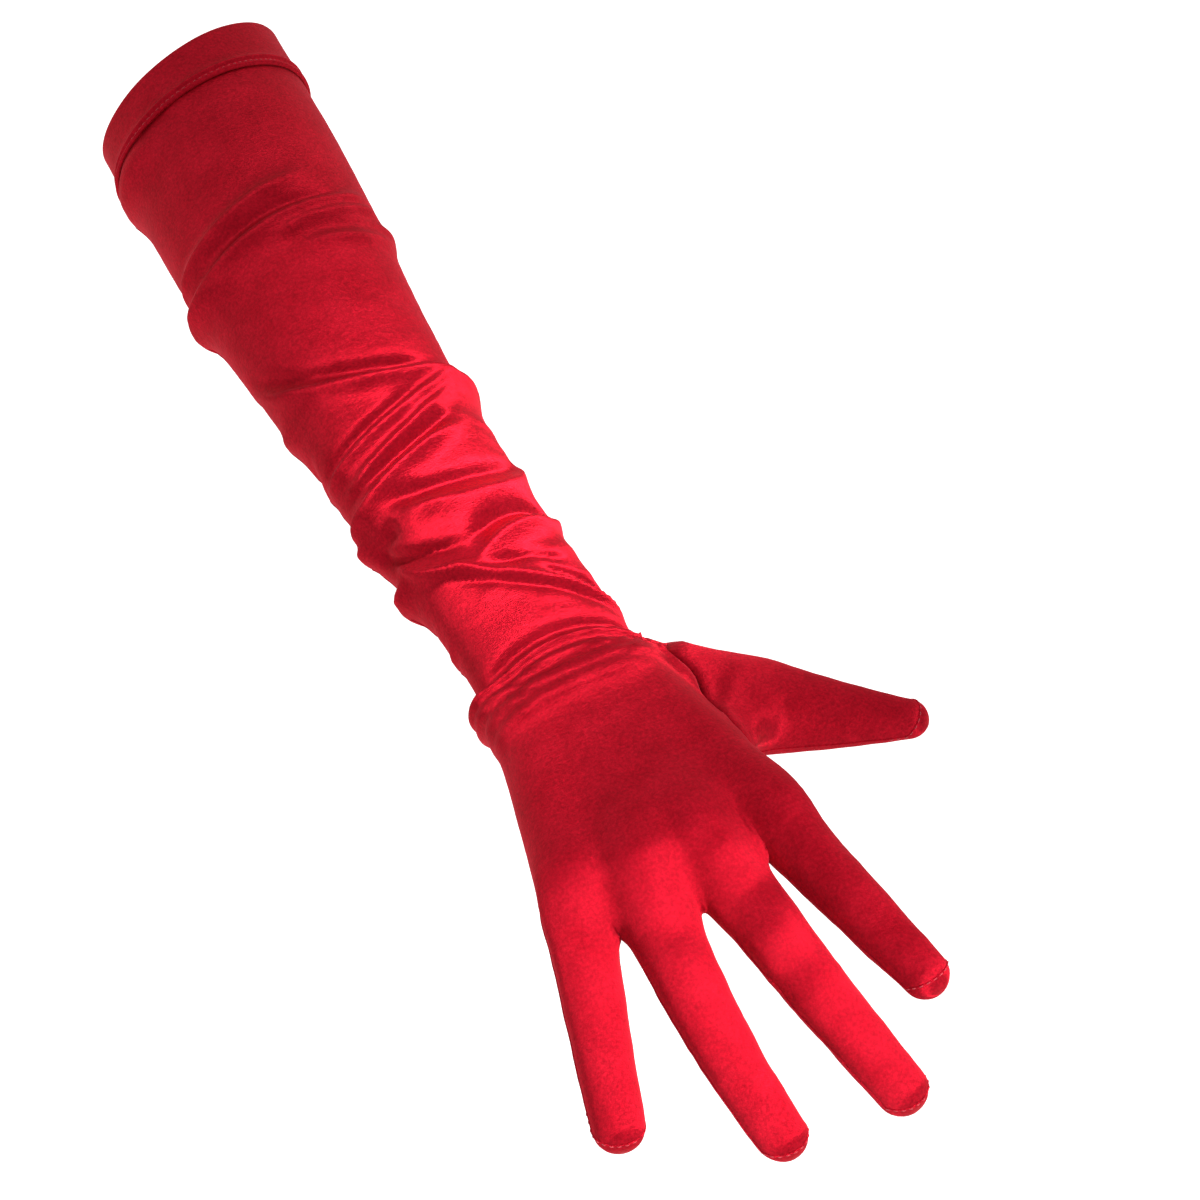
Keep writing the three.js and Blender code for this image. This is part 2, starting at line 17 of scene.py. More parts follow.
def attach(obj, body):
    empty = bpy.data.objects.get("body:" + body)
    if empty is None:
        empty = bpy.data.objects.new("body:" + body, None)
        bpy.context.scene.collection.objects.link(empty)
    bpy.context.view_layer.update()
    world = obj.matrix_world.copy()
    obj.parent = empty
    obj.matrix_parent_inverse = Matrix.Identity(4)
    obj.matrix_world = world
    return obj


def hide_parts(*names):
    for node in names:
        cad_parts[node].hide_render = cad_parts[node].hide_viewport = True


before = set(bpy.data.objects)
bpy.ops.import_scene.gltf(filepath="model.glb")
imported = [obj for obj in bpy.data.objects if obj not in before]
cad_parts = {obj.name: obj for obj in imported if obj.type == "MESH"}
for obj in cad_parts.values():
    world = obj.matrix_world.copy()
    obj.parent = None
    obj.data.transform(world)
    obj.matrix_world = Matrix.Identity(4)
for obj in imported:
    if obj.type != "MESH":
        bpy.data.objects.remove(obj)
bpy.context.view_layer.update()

MM = 0.001

# Sizes of the sleeve, in millimetres
SLEEVE_LENGTH = 325.0
OPENING_WIDTH = 84.0
WRIST_WIDTH = 57.0
WRIST_SHIFT = 8.0
RIM_LEAN_SIDE = 11.5
RIM_LEAN_TOP = 11.0
RIM_FADE = 0.35
HEM_DEPTH = 28.0
FOLD_HEIGHT = 3.7
FOLD_WIDTH = 9.0
FOLD_FADE = 1.8
# Above 1 makes the side of a fold towards the opening, or towards the fingers, steeper
FOLD_STEEPNESS = {"above": 1.35, "below": 0.85}
# 2 rounds a fold's crest, and less sharpens it
CREST = 1.55
# How far the crest of a fold leans over towards the opening, as a share of its height, and the
# share of the sleeve where that starts
FOLD_LEAN_OVER = {"share": 0.45, "from": 0.2, "fade": 0.05}
# Share of the sleeve where the last wrist gathers have ended
GATHERS_END = 1.12

# Sizes of the hand, in millimetres
PALM_LENGTH = 93.0
PALM_WIDTH = 84.0
KNUCKLE_RISE = 18.0
FINGER_LENGTH = 97.0
FINGER_WIDTH = 20.0
THUMB_LENGTH = 102.0
THUMB_WIDTH = 25.0
WEB_SOFTNESS = 3.0

CLOTH = 0.7

# Sections of the sleeve: share of its length, share of the way from the opening's width to the
# wrist's, depth as a share of the width, and share of the wrist's shift
SLEEVE_SECTIONS = {
    "at": [0.0, 0.18, 0.34, 0.46, 0.58, 0.76, 0.92, 1.0],
    "taper": [0.0, 0.03, 0.19, 0.45, 0.7, 0.86, 0.98, 0.94],
    "depth": [0.95, 0.94, 0.92, 0.9, 0.87, 0.83, 0.78, 0.74],
    "shift": [0.0, -0.1, -0.25, -0.25, -0.1, 0.25, 0.85, 1.0],
}

# The folds: share of the sleeve at the top of the arm, lean and bow towards the fingers over a
# quarter turn, degrees from and to (0 is the thumb's side, 90 the top), height and width as
# shares. A groove's height is below 0.
HEM_BULGE = (0.107, 0.0, 0.0, 125, 265, 1.1, 1.0)
FOLDS = [
    HEM_BULGE,
    (0.296, 0.05, -0.034, 60, 205, 0.7, 0.5),
    (0.326, 0.012, 0.0, 40, 160, -0.45, 0.35),
    (0.343, 0.032, -0.021, 10, 240, 0.75, 0.42),
    (0.352, -0.01, -0.01, -60, 40, 0.6, 0.5),
    (0.362, 0.03, -0.02, 15, 110, 0.4, 0.3),
    (0.388, -0.02, -0.014, 120, 245, 0.75, 0.6),
    (0.392, 0.01, -0.014, 0, 100, 0.3, 0.4),
    (0.578, -0.04, -0.07, 35, 185, -0.75, 0.45),
    (0.598, -0.035, -0.07, 25, 190, 1.0, 0.4),
    (0.592, -0.028, -0.01, -130, 75, 1.2, 0.7),
    (0.592, -0.02, -0.01, 160, 260, 0.6, 0.7),
    (0.634, 0.05, -0.038, 60, 180, -0.6, 0.32),
    (0.649, 0.057, -0.044, 30, 195, 0.85, 0.3),
    (0.672, 0.071, -0.055, 30, 175, 0.6, 0.28),
    (0.687, 0.054, -0.049, 45, 180, -0.6, 0.32),
    (0.706, 0.055, -0.035, 45, 215, 0.95, 0.34),
    (0.757, -0.009, -0.043, 10, 145, -0.7, 0.5),
    (0.788, -0.021, -0.09, -20, 150, 0.75, 0.6),
    (0.768, 0.0, 0.0, 135, 185, -0.8, 0.4),
    (0.745, 0.0, 0.0, 165, 265, 0.9, 0.5),
    (0.802, 0.02, 0.0, 160, 265, 1.3, 0.5),
    (0.828, 0.057, 0.059, 10, 112, -0.85, 0.4),
    (0.845, -0.039, -0.033, 100, 190, -0.9, 0.42),
    (0.853, 0.06, 0.03, -40, 118, 0.7, 0.36),
    (0.862, 0.051, -0.15, 100, 175, 0.7, 0.36),
    (0.878, -0.026, 0.0, 40, 105, -0.45, 0.26),
    (0.888, -0.058, 0.0, 15, 78, -0.6, 0.32),
    (0.9, -0.091, -0.026, -20, 155, 0.55, 0.3),
    (0.913, -0.091, -0.026, 20, 150, -0.4, 0.22),
    (0.984, -0.002, 0.01, -180, 180, -0.5, 0.4),
    (1.0, -0.002, 0.012, -180, 180, 0.75, 0.3),
    (1.021, -0.004, 0.014, -180, 180, 0.75, 0.28),
    (1.041, -0.002, 0.014, 0, 205, 0.7, 0.28),
    (1.06, 0.0, 0.012, 40, 180, 0.5, 0.28),
    (1.014, 0.0, 0.0, 130, 270, 1.3, 1.0),
]

# Fingers from the thumb's side on: the knuckle's place across and along the palm and its rise,
# length, headings and droops at knuckle and tip, radii at knuckle, joint and tip, and depth
# beside width
FINGERS = [
    (0.357, 0.87, 1.0, 0.88, (6, 15), (-6, 6), 0.54, 0.495, 0.4, 0.95),
    (0.06, 0.96, 1.1, 1.07, (6, 24), (4, 34), 0.58, 0.53, 0.43, 0.95),
    (-0.19, 0.96, 1.0, 1.01, (-11, 18), (6, 36), 0.63, 0.53, 0.43, 0.95),
    (-0.44, 0.87, 0.75, 0.84, (-17, -12), (10, 34), 0.6, 0.5, 0.43, 0.95),
]
THUMB = (0.2, 0.05, -0.25, 1.0, (48, 60), (2, -2), 0.78, 0.72, 0.3, 0.8)
THUMB_WEB = {"from": 0.48, "to": 0.74, "radius": 0.4, "flat": 0.7}

# The coarse cage that the cloth is subdivided from
BACK_COLUMNS = 3
SIDE_COLUMNS = 3
WEB_COLUMNS = 2
PALM_ROWS = 11
# Above 1, the rows of the palm lie closer together near the wrist
PALM_EASE = 1.35
# Rows of the sleeve's cage up to each share of its length, closer where it folds
SLEEVE_BANDS = [(0.28, 4), (0.43, 10), (0.54, 4), (1.0, 30)]
FINGER_RINGS = 8
THUMB_RINGS = 7
BONE_STEPS = 10
RELAX_ROUNDS = 6
THUMB_HOLE = {"first_row": 2, "rows": 6, "columns": 5}
WEB_AT = 0.22
THUMB_AT = 0.3
WRIST_BLEND = 0.22
TIP_SHOULDER = 35.0
SUBDIVISIONS = 2


def mix(a, b, t):
    return a + (b - a) * t


def smooth(t):
    t = np.clip(t, 0.0, 1.0)
    return t * t * (3.0 - 2.0 * t)


def section(column, share):
    """A column of the sleeve's sections at a share of its length, on one smooth curve."""
    at = np.array(SLEEVE_SECTIONS["at"])
    value = np.array(SLEEVE_SECTIONS[column])
    last = len(at) - 1
    low = np.maximum(np.arange(last + 1) - 1, 0)
    high = np.minimum(np.arange(last + 1) + 1, last)
    slope = (value[high] - value[low]) / (at[high] - at[low])
    t = np.clip(share, 0.0, 1.0)
    i = np.clip(np.searchsorted(at, t, side="right") - 1, 0, last - 1)
    span = at[i + 1] - at[i]
    u = (t - at[i]) / span
    return (
        value[i] * (2 * u**3 - 3 * u**2 + 1)
        + slope[i] * span * (u**3 - 2 * u**2 + u)
        + value[i + 1] * (3 * u**2 - 2 * u**3)
        + slope[i + 1] * span * (u**3 - u**2)
    )


def fold_height(share, degrees, folds):
    """How far the gathers push the cloth out, in millimetres."""
    height = np.zeros_like(share)
    for at, lean, bow, start, end, tall, wide in folds:
        middle, half = (start + end) / 2, (end - start) / 2
        turn = (degrees - middle + 180.0) % 360.0 - 180.0
        if half >= 180:
            reach, from_top = 1.0, -np.cos(np.radians(degrees))
        else:
            reach = smooth((1 - np.abs(turn) / half) * FOLD_FADE)
            from_top = (middle + turn - 90) / 90
        centre = at + lean * from_top + bow * from_top**2
        s = (share - centre) * SLEEVE_LENGTH / (wide * FOLD_WIDTH)
        s = np.abs(s) * np.where(s < 0, FOLD_STEEPNESS["above"], FOLD_STEEPNESS["below"])
        height += tall * FOLD_HEIGHT * reach * np.exp(-(s**CREST))
    return height


def rim_lean(along, degrees):
    fade = np.maximum(0.0, 1.0 - along / SLEEVE_LENGTH / RIM_FADE) ** 2
    turn = np.radians(degrees)
    return fade * (RIM_LEAN_SIDE * np.cos(turn) - RIM_LEAN_TOP * np.sin(turn))


def half_sizes(along):
    share = along / SLEEVE_LENGTH
    wide = mix(OPENING_WIDTH, WRIST_WIDTH, section("taper", share)) / 2
    return wide, wide * section("depth", share), WRIST_SHIFT * section("shift", share)


def sleeve_point(along, degrees, grown=0.0):
    """Points of the sleeve's outside, pushed out by grown."""
    along, degrees = np.broadcast_arrays(np.asarray(along, float), np.asarray(degrees, float))
    wide, deep, shift = half_sizes(along)
    turn = np.radians(degrees)
    return np.stack(
        [
            shift + (wide + grown) * np.cos(turn),
            -along + rim_lean(along, degrees),
            (deep + grown) * np.sin(turn),
        ],
        axis=-1,
    )


def sleeve_place(points):
    """The distance along the arm and the degrees around it of points near the sleeve."""
    along = -points[:, 1]
    for _ in range(4):
        wide, deep, shift = half_sizes(along)
        degrees = np.degrees(np.arctan2(points[:, 2] / deep, (points[:, 0] - shift) / wide))
        along = -points[:, 1] + rim_lean(along, degrees)
    return along, degrees


# The hand: rays from the wrist through the fingers, and the thumb with its web
def make_digit(row, length, width):
    across, along, up, stretch, heading, droop, knuckle, joint, tip, flat = row
    knuckle_place = [
        WRIST_SHIFT + across * PALM_WIDTH,
        -SLEEVE_LENGTH - along * PALM_LENGTH,
        up * KNUCKLE_RISE,
    ]
    axis = [np.array(knuckle_place)]
    for i in range(BONE_STEPS):
        t = (i + 0.5) / BONE_STEPS
        turn, fall = math.radians(mix(*heading, t)), math.radians(mix(*droop, t))
        step = [math.sin(turn) * math.cos(fall), -math.cos(turn) * math.cos(fall), -math.sin(fall)]
        axis.append(axis[-1] + np.array(step) * length * stretch / BONE_STEPS)
    t = np.arange(BONE_STEPS + 1) / BONE_STEPS
    share = np.where(t < 0.5, mix(knuckle, joint, smooth(t * 2)), mix(joint, tip, t * 2 - 1))
    return {"axis": np.array(axis), "radii": share * width, "flat": flat}


fingers = [make_digit(row, FINGER_LENGTH, FINGER_WIDTH) for row in FINGERS]
thumb = make_digit(THUMB, THUMB_LENGTH, THUMB_WIDTH)
wrist_depth = WRIST_WIDTH / 2 * section("depth", np.array([1.0]))[0]

rays = []
for f, finger in enumerate(fingers):
    side = mix(0.5, -0.5, f / (len(fingers) - 1))
    start = np.array([WRIST_SHIFT + side * (WRIST_WIDTH - 2 * wrist_depth), -SLEEVE_LENGTH, 0.0])
    rays.append(
        {
            "axis": np.vstack([start, finger["axis"]]),
            "radii": np.concatenate([[wrist_depth], finger["radii"]]),
            "flat": 1.0,
        }
    )
at_web = THUMB_WEB["from"] * BONE_STEPS
web_start = mix(thumb["axis"][int(at_web)], thumb["axis"][int(at_web) + 1], at_web % 1)
web_end = mix(rays[0]["axis"][0], rays[0]["axis"][1], THUMB_WEB["to"])
rays.append(thumb)
rays.append(
    {
        "axis": np.array([web_start, web_end]),
        "radii": np.full(2, THUMB_WEB["radius"] * THUMB_WIDTH),
        "flat": THUMB_WEB["flat"],
    }
)


def distance_to_ray(points, ray):
    least = np.full(len(points), np.inf)
    axis, radii = ray["axis"], ray["radii"]
    for i in range(len(axis) - 1):
        bone = axis[i + 1] - axis[i]
        off = points - axis[i]
        t = np.clip(off @ bone / (bone @ bone), 0.0, 1.0)
        off = off - t[:, None] * bone
        off[:, 2] /= ray["flat"]
        least = np.minimum(least, np.linalg.norm(off, axis=1) - mix(radii[i], radii[i + 1], t))
    return least


def distance_to_hand(points):
    total = sum(np.exp(-distance_to_ray(points, ray) / WEB_SOFTNESS) for ray in rays)
    return -WEB_SOFTNESS * np.log(total)


SETTLE_PROBE = 0.05
SETTLE_LEAST_SLOPE = 0.2


def settle(points, steps=6):
    """Moves points on to the surface of the hand."""
    points = points.copy()
    for _ in range(steps):
        here = distance_to_hand(points)
        slope = np.empty_like(points)
        for k in range(3):
            moved = points.copy()
            moved[:, k] += SETTLE_PROBE
            slope[:, k] = (distance_to_hand(moved) - here) / SETTLE_PROBE
        size = np.maximum(SETTLE_LEAST_SLOPE, (slope**2).sum(axis=1))
        points -= slope * (here / size)[:, None]
    return points


# The coarse cage: rows down the sleeve and the palm, webs between the fingers, and the digits
cage = []
cage_faces = []
face_piece = []
BODY, THUMB_PIECE = 0, 1


def add_point(point):
    cage.append(np.array(point, float))
    return len(cage) - 1


def add_face(piece, *corners):
    cage_faces.append(corners)
    face_piece.append(piece)


def frame_of(digit, share):
    at = share * BONE_STEPS
    i = min(BONE_STEPS - 1, int(at))
    axis, radii = digit["axis"], digit["radii"]
    ahead = axis[i + 1] - axis[i]
    ahead = ahead / np.linalg.norm(ahead)
    side = np.array([-ahead[1], ahead[0], 0.0])
    side = side / np.linalg.norm(side)
    return {
        "middle": mix(axis[i], axis[i + 1], at - i),
        "ahead": ahead,
        "side": side,
        "up": np.cross(ahead, side),
        "radius": mix(radii[i], radii[i + 1], at - i),
    }


def ring_point(foot, degrees, push=0.0, radius=None):
    turn = math.radians(degrees)
    reach = foot["radius"] if radius is None else radius
    across = foot["side"] * math.cos(turn) + foot["up"] * math.sin(turn)
    return foot["middle"] + reach * across + push * foot["ahead"]


def loop_degrees(place, long, short, start):
    rest, degrees = place, start
    for length in (long, short, long, short):
        if rest <= length:
            return degrees + 90.0 * rest / length
        rest -= length
        degrees += 90.0
    return degrees


back_columns = len(fingers) * BACK_COLUMNS + (len(fingers) - 1) * WEB_COLUMNS
AROUND = 2 * (back_columns + SIDE_COLUMNS)
finger_step = BACK_COLUMNS + WEB_COLUMNS
column_degrees = 360.0 * (np.arange(AROUND) + SIDE_COLUMNS / 2) / AROUND

feet = [frame_of(finger, WEB_AT) for finger in fingers]
last_ring = []
for f, foot in enumerate(feet):
    last_ring += [ring_point(foot, 45 + 90 * i / BACK_COLUMNS) for i in range(BACK_COLUMNS + 1)]
    if f + 1 < len(feet):
        ends = ring_point(foot, 135), ring_point(feet[f + 1], 45)
        last_ring += [mix(*ends, i / WEB_COLUMNS) for i in range(1, WEB_COLUMNS)]
last_ring += [ring_point(feet[-1], 135 + 90 * i / SIDE_COLUMNS) for i in range(1, SIDE_COLUMNS)]
for f in reversed(range(len(feet))):
    last_ring += [ring_point(feet[f], 225 + 90 * i / BACK_COLUMNS) for i in range(BACK_COLUMNS + 1)]
    if f > 0:
        ends = ring_point(feet[f], 315), ring_point(feet[f - 1], 225)
        last_ring += [mix(*ends, i / WEB_COLUMNS) for i in range(1, WEB_COLUMNS)]
last_ring += [ring_point(feet[0], 315 + 90 * i / SIDE_COLUMNS) for i in range(1, SIDE_COLUMNS)]
last_ring = np.array(last_ring)

SLEEVE_START = HEM_DEPTH - 3.0
sleeve_rows = []
reaches = [SLEEVE_START]
for share, rows in SLEEVE_BANDS:
    reaches += list(mix(reaches[-1], share * SLEEVE_LENGTH, np.arange(1, rows + 1) / rows))
for along in reaches:
    sleeve_rows.append([add_point(p) for p in sleeve_point(along, column_degrees)])
palm = [sleeve_rows[-1]]
wrist = sleeve_point(SLEEVE_LENGTH, column_degrees)
# The first rows of the palm stay near the sleeve, so that they follow on from it evenly.
held, held_at, held_keep = [], [], []
for j in range(1, PALM_ROWS + 1):
    row = mix(wrist, last_ring, (j / PALM_ROWS) ** PALM_EASE)
    palm.append([add_point(p) for p in row])
    past = -row[:, 1] - SLEEVE_LENGTH
    held += palm[-1]
    held_at.append(sleeve_point(SLEEVE_LENGTH + past, column_degrees))
    held_keep.append(smooth(past / (WRIST_BLEND * PALM_LENGTH)))
held_at, held_keep = np.concatenate(held_at), np.concatenate(held_keep)[:, None]


def in_hole(j, i):
    column = (i + THUMB_HOLE["columns"]) % AROUND
    return 0 <= j - THUMB_HOLE["first_row"] < THUMB_HOLE["rows"] and column < THUMB_HOLE["columns"]


for rows, hole in ((sleeve_rows, False), (palm, True)):
    for j in range(len(rows) - 1):
        for i in range(AROUND):
            k = (i + 1) % AROUND
            if not (hole and in_hole(j, i)):
                add_face(BODY, rows[j][i], rows[j][k], rows[j + 1][k], rows[j + 1][i])


def palm_corner(f):
    return back_columns + SIDE_COLUMNS + (len(fingers) - 1 - f) * finger_step


webs = []
for f in range(len(fingers) - 1):
    grid = []
    for r in range(SIDE_COLUMNS + 1):
        row = []
        for c in range(WEB_COLUMNS + 1):
            if r == 0:
                row.append(palm[-1][f * finger_step + BACK_COLUMNS + c])
            elif r == SIDE_COLUMNS:
                row.append(palm[-1][palm_corner(f) - c])
            else:
                left = ring_point(feet[f], 135 + 90 * r / SIDE_COLUMNS)
                right = ring_point(feet[f + 1], 45 - 90 * r / SIDE_COLUMNS)
                row.append(add_point(mix(left, right, c / WEB_COLUMNS)))
        grid.append(row)
    for r in range(SIDE_COLUMNS):
        for c in range(WEB_COLUMNS):
            add_face(BODY, grid[r][c], grid[r][c + 1], grid[r + 1][c + 1], grid[r + 1][c])
    webs.append(grid)


def add_digit(piece, digit, ring, long, short, start, first_share, rings):
    """Runs rings from a loop along a digit and closes its tip with a square patch."""

    def close_ring(ring, points):
        following = [add_point(p) for p in points]
        for i in range(len(ring)):
            j = (i + 1) % len(ring)
            add_face(piece, ring[i], ring[j], following[j], following[i])
        return following

    places = [loop_degrees(i, long, short, start) for i in range(len(ring))]
    for k in range(1, rings + 1):
        foot = frame_of(digit, mix(first_share, 1.0, k / rings))
        ring = close_ring(ring, [ring_point(foot, d) for d in places])
    foot = frame_of(digit, 1.0)
    shoulder, push = [foot["radius"] * f(math.radians(TIP_SHOULDER)) for f in (math.cos, math.sin)]
    ring = close_ring(ring, [ring_point(foot, d, push, shoulder) for d in places])
    grid = []
    for r in range(short + 1):
        row = []
        for c in range(long + 1):
            if r == 0:
                row.append(ring[c])
            elif c == long:
                row.append(ring[long + r])
            elif r == short:
                row.append(ring[2 * long + short - c])
            elif c == 0:
                row.append(ring[2 * long + 2 * short - r])
            else:
                upper = ring_point(foot, loop_degrees(c, long, short, start), 0, shoulder)
                opposite = loop_degrees(2 * long + short - c, long, short, start)
                lower = ring_point(foot, opposite, 0, shoulder)
                row.append(add_point(mix(upper, lower, r / short) + foot["ahead"] * foot["radius"]))
        grid.append(row)
    for r in range(short):
        for c in range(long):
            add_face(piece, grid[r][c], grid[r][c + 1], grid[r + 1][c + 1], grid[r + 1][c])


for f, finger in enumerate(fingers):
    loop = [palm[-1][f * finger_step + i] for i in range(BACK_COLUMNS + 1)]
    far = webs[f] if f < len(webs) else None
    loop += [far[r][0] if far else palm[-1][back_columns + r] for r in range(1, SIDE_COLUMNS)]
    loop += [palm[-1][palm_corner(f) + i] for i in range(BACK_COLUMNS + 1)]
    near = webs[f - 1] if f > 0 else None
    for r in range(SIDE_COLUMNS - 1, 0, -1):
        loop.append(near[r][WEB_COLUMNS] if near else palm[-1][AROUND - r])
    add_digit(BODY, finger, loop, BACK_COLUMNS, SIDE_COLUMNS, 45, WEB_AT, FINGER_RINGS)

first_row = THUMB_HOLE["first_row"]
hole_rows, hole_columns = THUMB_HOLE["rows"], THUMB_HOLE["columns"]


def hole_point(j, i):
    return palm[first_row + j][(AROUND - hole_columns + i) % AROUND]


seam = [hole_point(0, i) for i in range(hole_columns + 1)]
seam += [hole_point(j, hole_columns) for j in range(1, hole_rows + 1)]
seam += [hole_point(hole_rows, i) for i in range(hole_columns - 1, -1, -1)]
seam += [hole_point(j, 0) for j in range(hole_rows - 1, 0, -1)]
add_digit(THUMB_PIECE, thumb, seam, hole_columns, hole_rows, -45, THUMB_AT, THUMB_RINGS)

cage = np.array(cage)


def neighbour_mean(points, edges, count):
    total = np.zeros_like(points)
    np.add.at(total, edges[:, 0], points[edges[:, 1]])
    np.add.at(total, edges[:, 1], points[edges[:, 0]])
    return total / count[:, None]


def edges_of(faces):
    quads = np.array(faces)
    pairs = np.concatenate([quads[:, [0, 1]], quads[:, [1, 2]], quads[:, [2, 3]], quads[:, [3, 0]]])
    return np.unique(np.sort(pairs, axis=1), axis=0)


cage_edges = edges_of(cage_faces)
edge_count = np.maximum(1.0, np.bincount(cage_edges.ravel(), minlength=len(cage)))
of_hand = np.ones(len(cage), bool)
of_hand[[index for row in sleeve_rows for index in row]] = False
cage[of_hand] = settle(cage[of_hand])
for _ in range(RELAX_ROUNDS):
    evened = mix(cage, neighbour_mean(cage, cage_edges, edge_count), 0.5)
    cage[of_hand] = settle(evened[of_hand])
    cage[held] = mix(held_at, cage[held], held_keep)


# The fine cloth: the cage subdivided, settled again and pushed out by its folds
def plain_mesh(name, points, faces, pieces=None):
    mesh = bpy.data.meshes.new(name)
    mesh.from_pydata([tuple(p) for p in points], [], [tuple(int(i) for i in f) for f in faces])
    if pieces is not None:
        for _ in range(max(pieces) + 1):
            mesh.materials.append(None)
        mesh.polygons.foreach_set("material_index", pieces)
    mesh.update()
    return mesh


def subdivide(points, faces, pieces, levels):
    """Catmull-Clark subdivision. Returns the points, the four-sided faces and the piece of each."""
    helper = bpy.data.objects.new("helper", plain_mesh("helper", points, faces, pieces))
    bpy.context.scene.collection.objects.link(helper)
    modifier = helper.modifiers.new("fine", "SUBSURF")
    modifier.levels = modifier.render_levels = levels
    bpy.context.view_layer.update()
    fine = helper.evaluated_get(bpy.context.evaluated_depsgraph_get()).to_mesh()
    fine_points = np.empty(len(fine.vertices) * 3)
    fine.vertices.foreach_get("co", fine_points)
    corners = np.empty(len(fine.loops), np.int32)
    fine.loops.foreach_get("vertex_index", corners)
    fine_pieces = np.empty(len(fine.polygons), np.int32)
    fine.polygons.foreach_get("material_index", fine_pieces)
    helper.to_mesh_clear()
    mesh = helper.data
    bpy.data.objects.remove(helper)
    bpy.data.meshes.remove(mesh)
    return fine_points.reshape(-1, 3), corners.reshape(-1, 4), fine_pieces


def normals_of(points, quads):
    diagonals = points[quads[:, 2]] - points[quads[:, 0]], points[quads[:, 3]] - points[quads[:, 1]]
    normal = np.cross(*diagonals)
    total = np.zeros_like(points)
    for k in range(4):
        np.add.at(total, quads[:, k], normal)
    return total / np.maximum(np.linalg.norm(total, axis=1, keepdims=True), 1e-9)


points, quads, pieces = subdivide(cage, cage_faces, face_piece, SUBDIVISIONS)
edges = edges_of(quads)
count = np.maximum(1.0, np.bincount(edges.ravel(), minlength=len(points)))

# The hand settles again, and blends into the sleeve at the wrist.
past_wrist = -points[:, 1] - SLEEVE_LENGTH
on_hand = past_wrist > 0.0
points[on_hand] = settle(points[on_hand], 4)
along, degrees = sleeve_place(points)
keep = smooth((-points[:, 1] - SLEEVE_LENGTH) / (WRIST_BLEND * PALM_LENGTH))
on_sleeve = sleeve_point(along, degrees)
is_body = np.ones(len(points), bool)
is_body[np.unique(quads[pieces == THUMB_PIECE])] = False
blend = on_hand & (keep < 1.0) & is_body
points[blend] = mix(on_sleeve[blend], points[blend], keep[blend, None])

digits = fingers + [thumb]


def digit_place(points):
    """The nearest digit to each point, its share along that digit, and its degrees around it."""
    least = np.full(len(points), np.inf)
    which = np.zeros(len(points), int)
    shares, degrees = np.zeros(len(points)), np.zeros(len(points))
    for d, digit in enumerate(digits):
        axis, radii = digit["axis"], digit["radii"]
        for i in range(BONE_STEPS):
            bone = axis[i + 1] - axis[i]
            side = np.array([-bone[1], bone[0], 0.0])
            side /= np.linalg.norm(side)
            up = np.cross(bone / np.linalg.norm(bone), side)
            off = points - axis[i]
            t = np.clip(off @ bone / (bone @ bone), 0.0, 1.0)
            off = off - t[:, None] * bone
            gap = np.linalg.norm(off, axis=1) - mix(radii[i], radii[i + 1], t)
            nearer = gap < least
            least[nearer], which[nearer] = gap[nearer], d
            shares[nearer] = (i + t[nearer]) / BONE_STEPS
            degrees[nearer] = np.degrees(np.arctan2(off[nearer] @ up, off[nearer] @ side))
    return which, shares, degrees


WAY_FADE = 10.0


def way_of_cloth(points):
    """The direction along the arm, palm or finger at each point."""
    ways, gaps = [], []
    for ray in rays[:-1]:
        least, way = np.full(len(points), np.inf), np.zeros_like(points)
        axis, radii = ray["axis"], ray["radii"]
        for i in range(len(axis) - 1):
            bone = axis[i + 1] - axis[i]
            off = points - axis[i]
            t = np.clip(off @ bone / (bone @ bone), 0.0, 1.0)
            gap = np.linalg.norm(off - t[:, None] * bone, axis=1) - mix(radii[i], radii[i + 1], t)
            nearer = gap < least
            least[nearer] = gap[nearer]
            way[nearer] = bone / np.linalg.norm(bone)
        ways.append(way)
        gaps.append(least)
    gaps = np.array(gaps)
    weight = np.exp(-(gaps - gaps.min(axis=0)) / WEB_SOFTNESS)
    total = (weight[:, :, None] * np.array(ways)).sum(axis=0)
    along_arm = smooth(1.0 - (-points[:, 1] - SLEEVE_LENGTH) / WAY_FADE)
    total = mix(total, np.array([0.0, -1.0, 0.0]), along_arm[:, None])
    return total / np.linalg.norm(total, axis=1, keepdims=True)


# The back of the hand and the palm are evened out, more than the fingers are. Every second
# round pushes back a little less, so that the hand doesn't shrink.
EVEN = {"rounds": 24, "fingers": 0.12, "palm": 0.5, "push_back": 0.9}
EVEN_FROM, EVEN_TO, EVEN_FADE = 12.0, 0.72, 0.3
past_wrist = -points[:, 1] - SLEEVE_LENGTH
past_palm = smooth((past_wrist - EVEN_TO * PALM_LENGTH) / (EVEN_FADE * PALM_LENGTH))
palm_share = smooth(past_wrist / EVEN_FROM) * (1 - past_palm)
even = np.where(on_hand, EVEN["fingers"] + EVEN["palm"] * palm_share, 0.0)
for round_ in range(EVEN["rounds"]):
    rate = even if round_ % 2 == 0 else -EVEN["push_back"] * even
    points += (neighbour_mean(points, edges, count) - points) * rate[:, None]

normals = normals_of(points, quads)

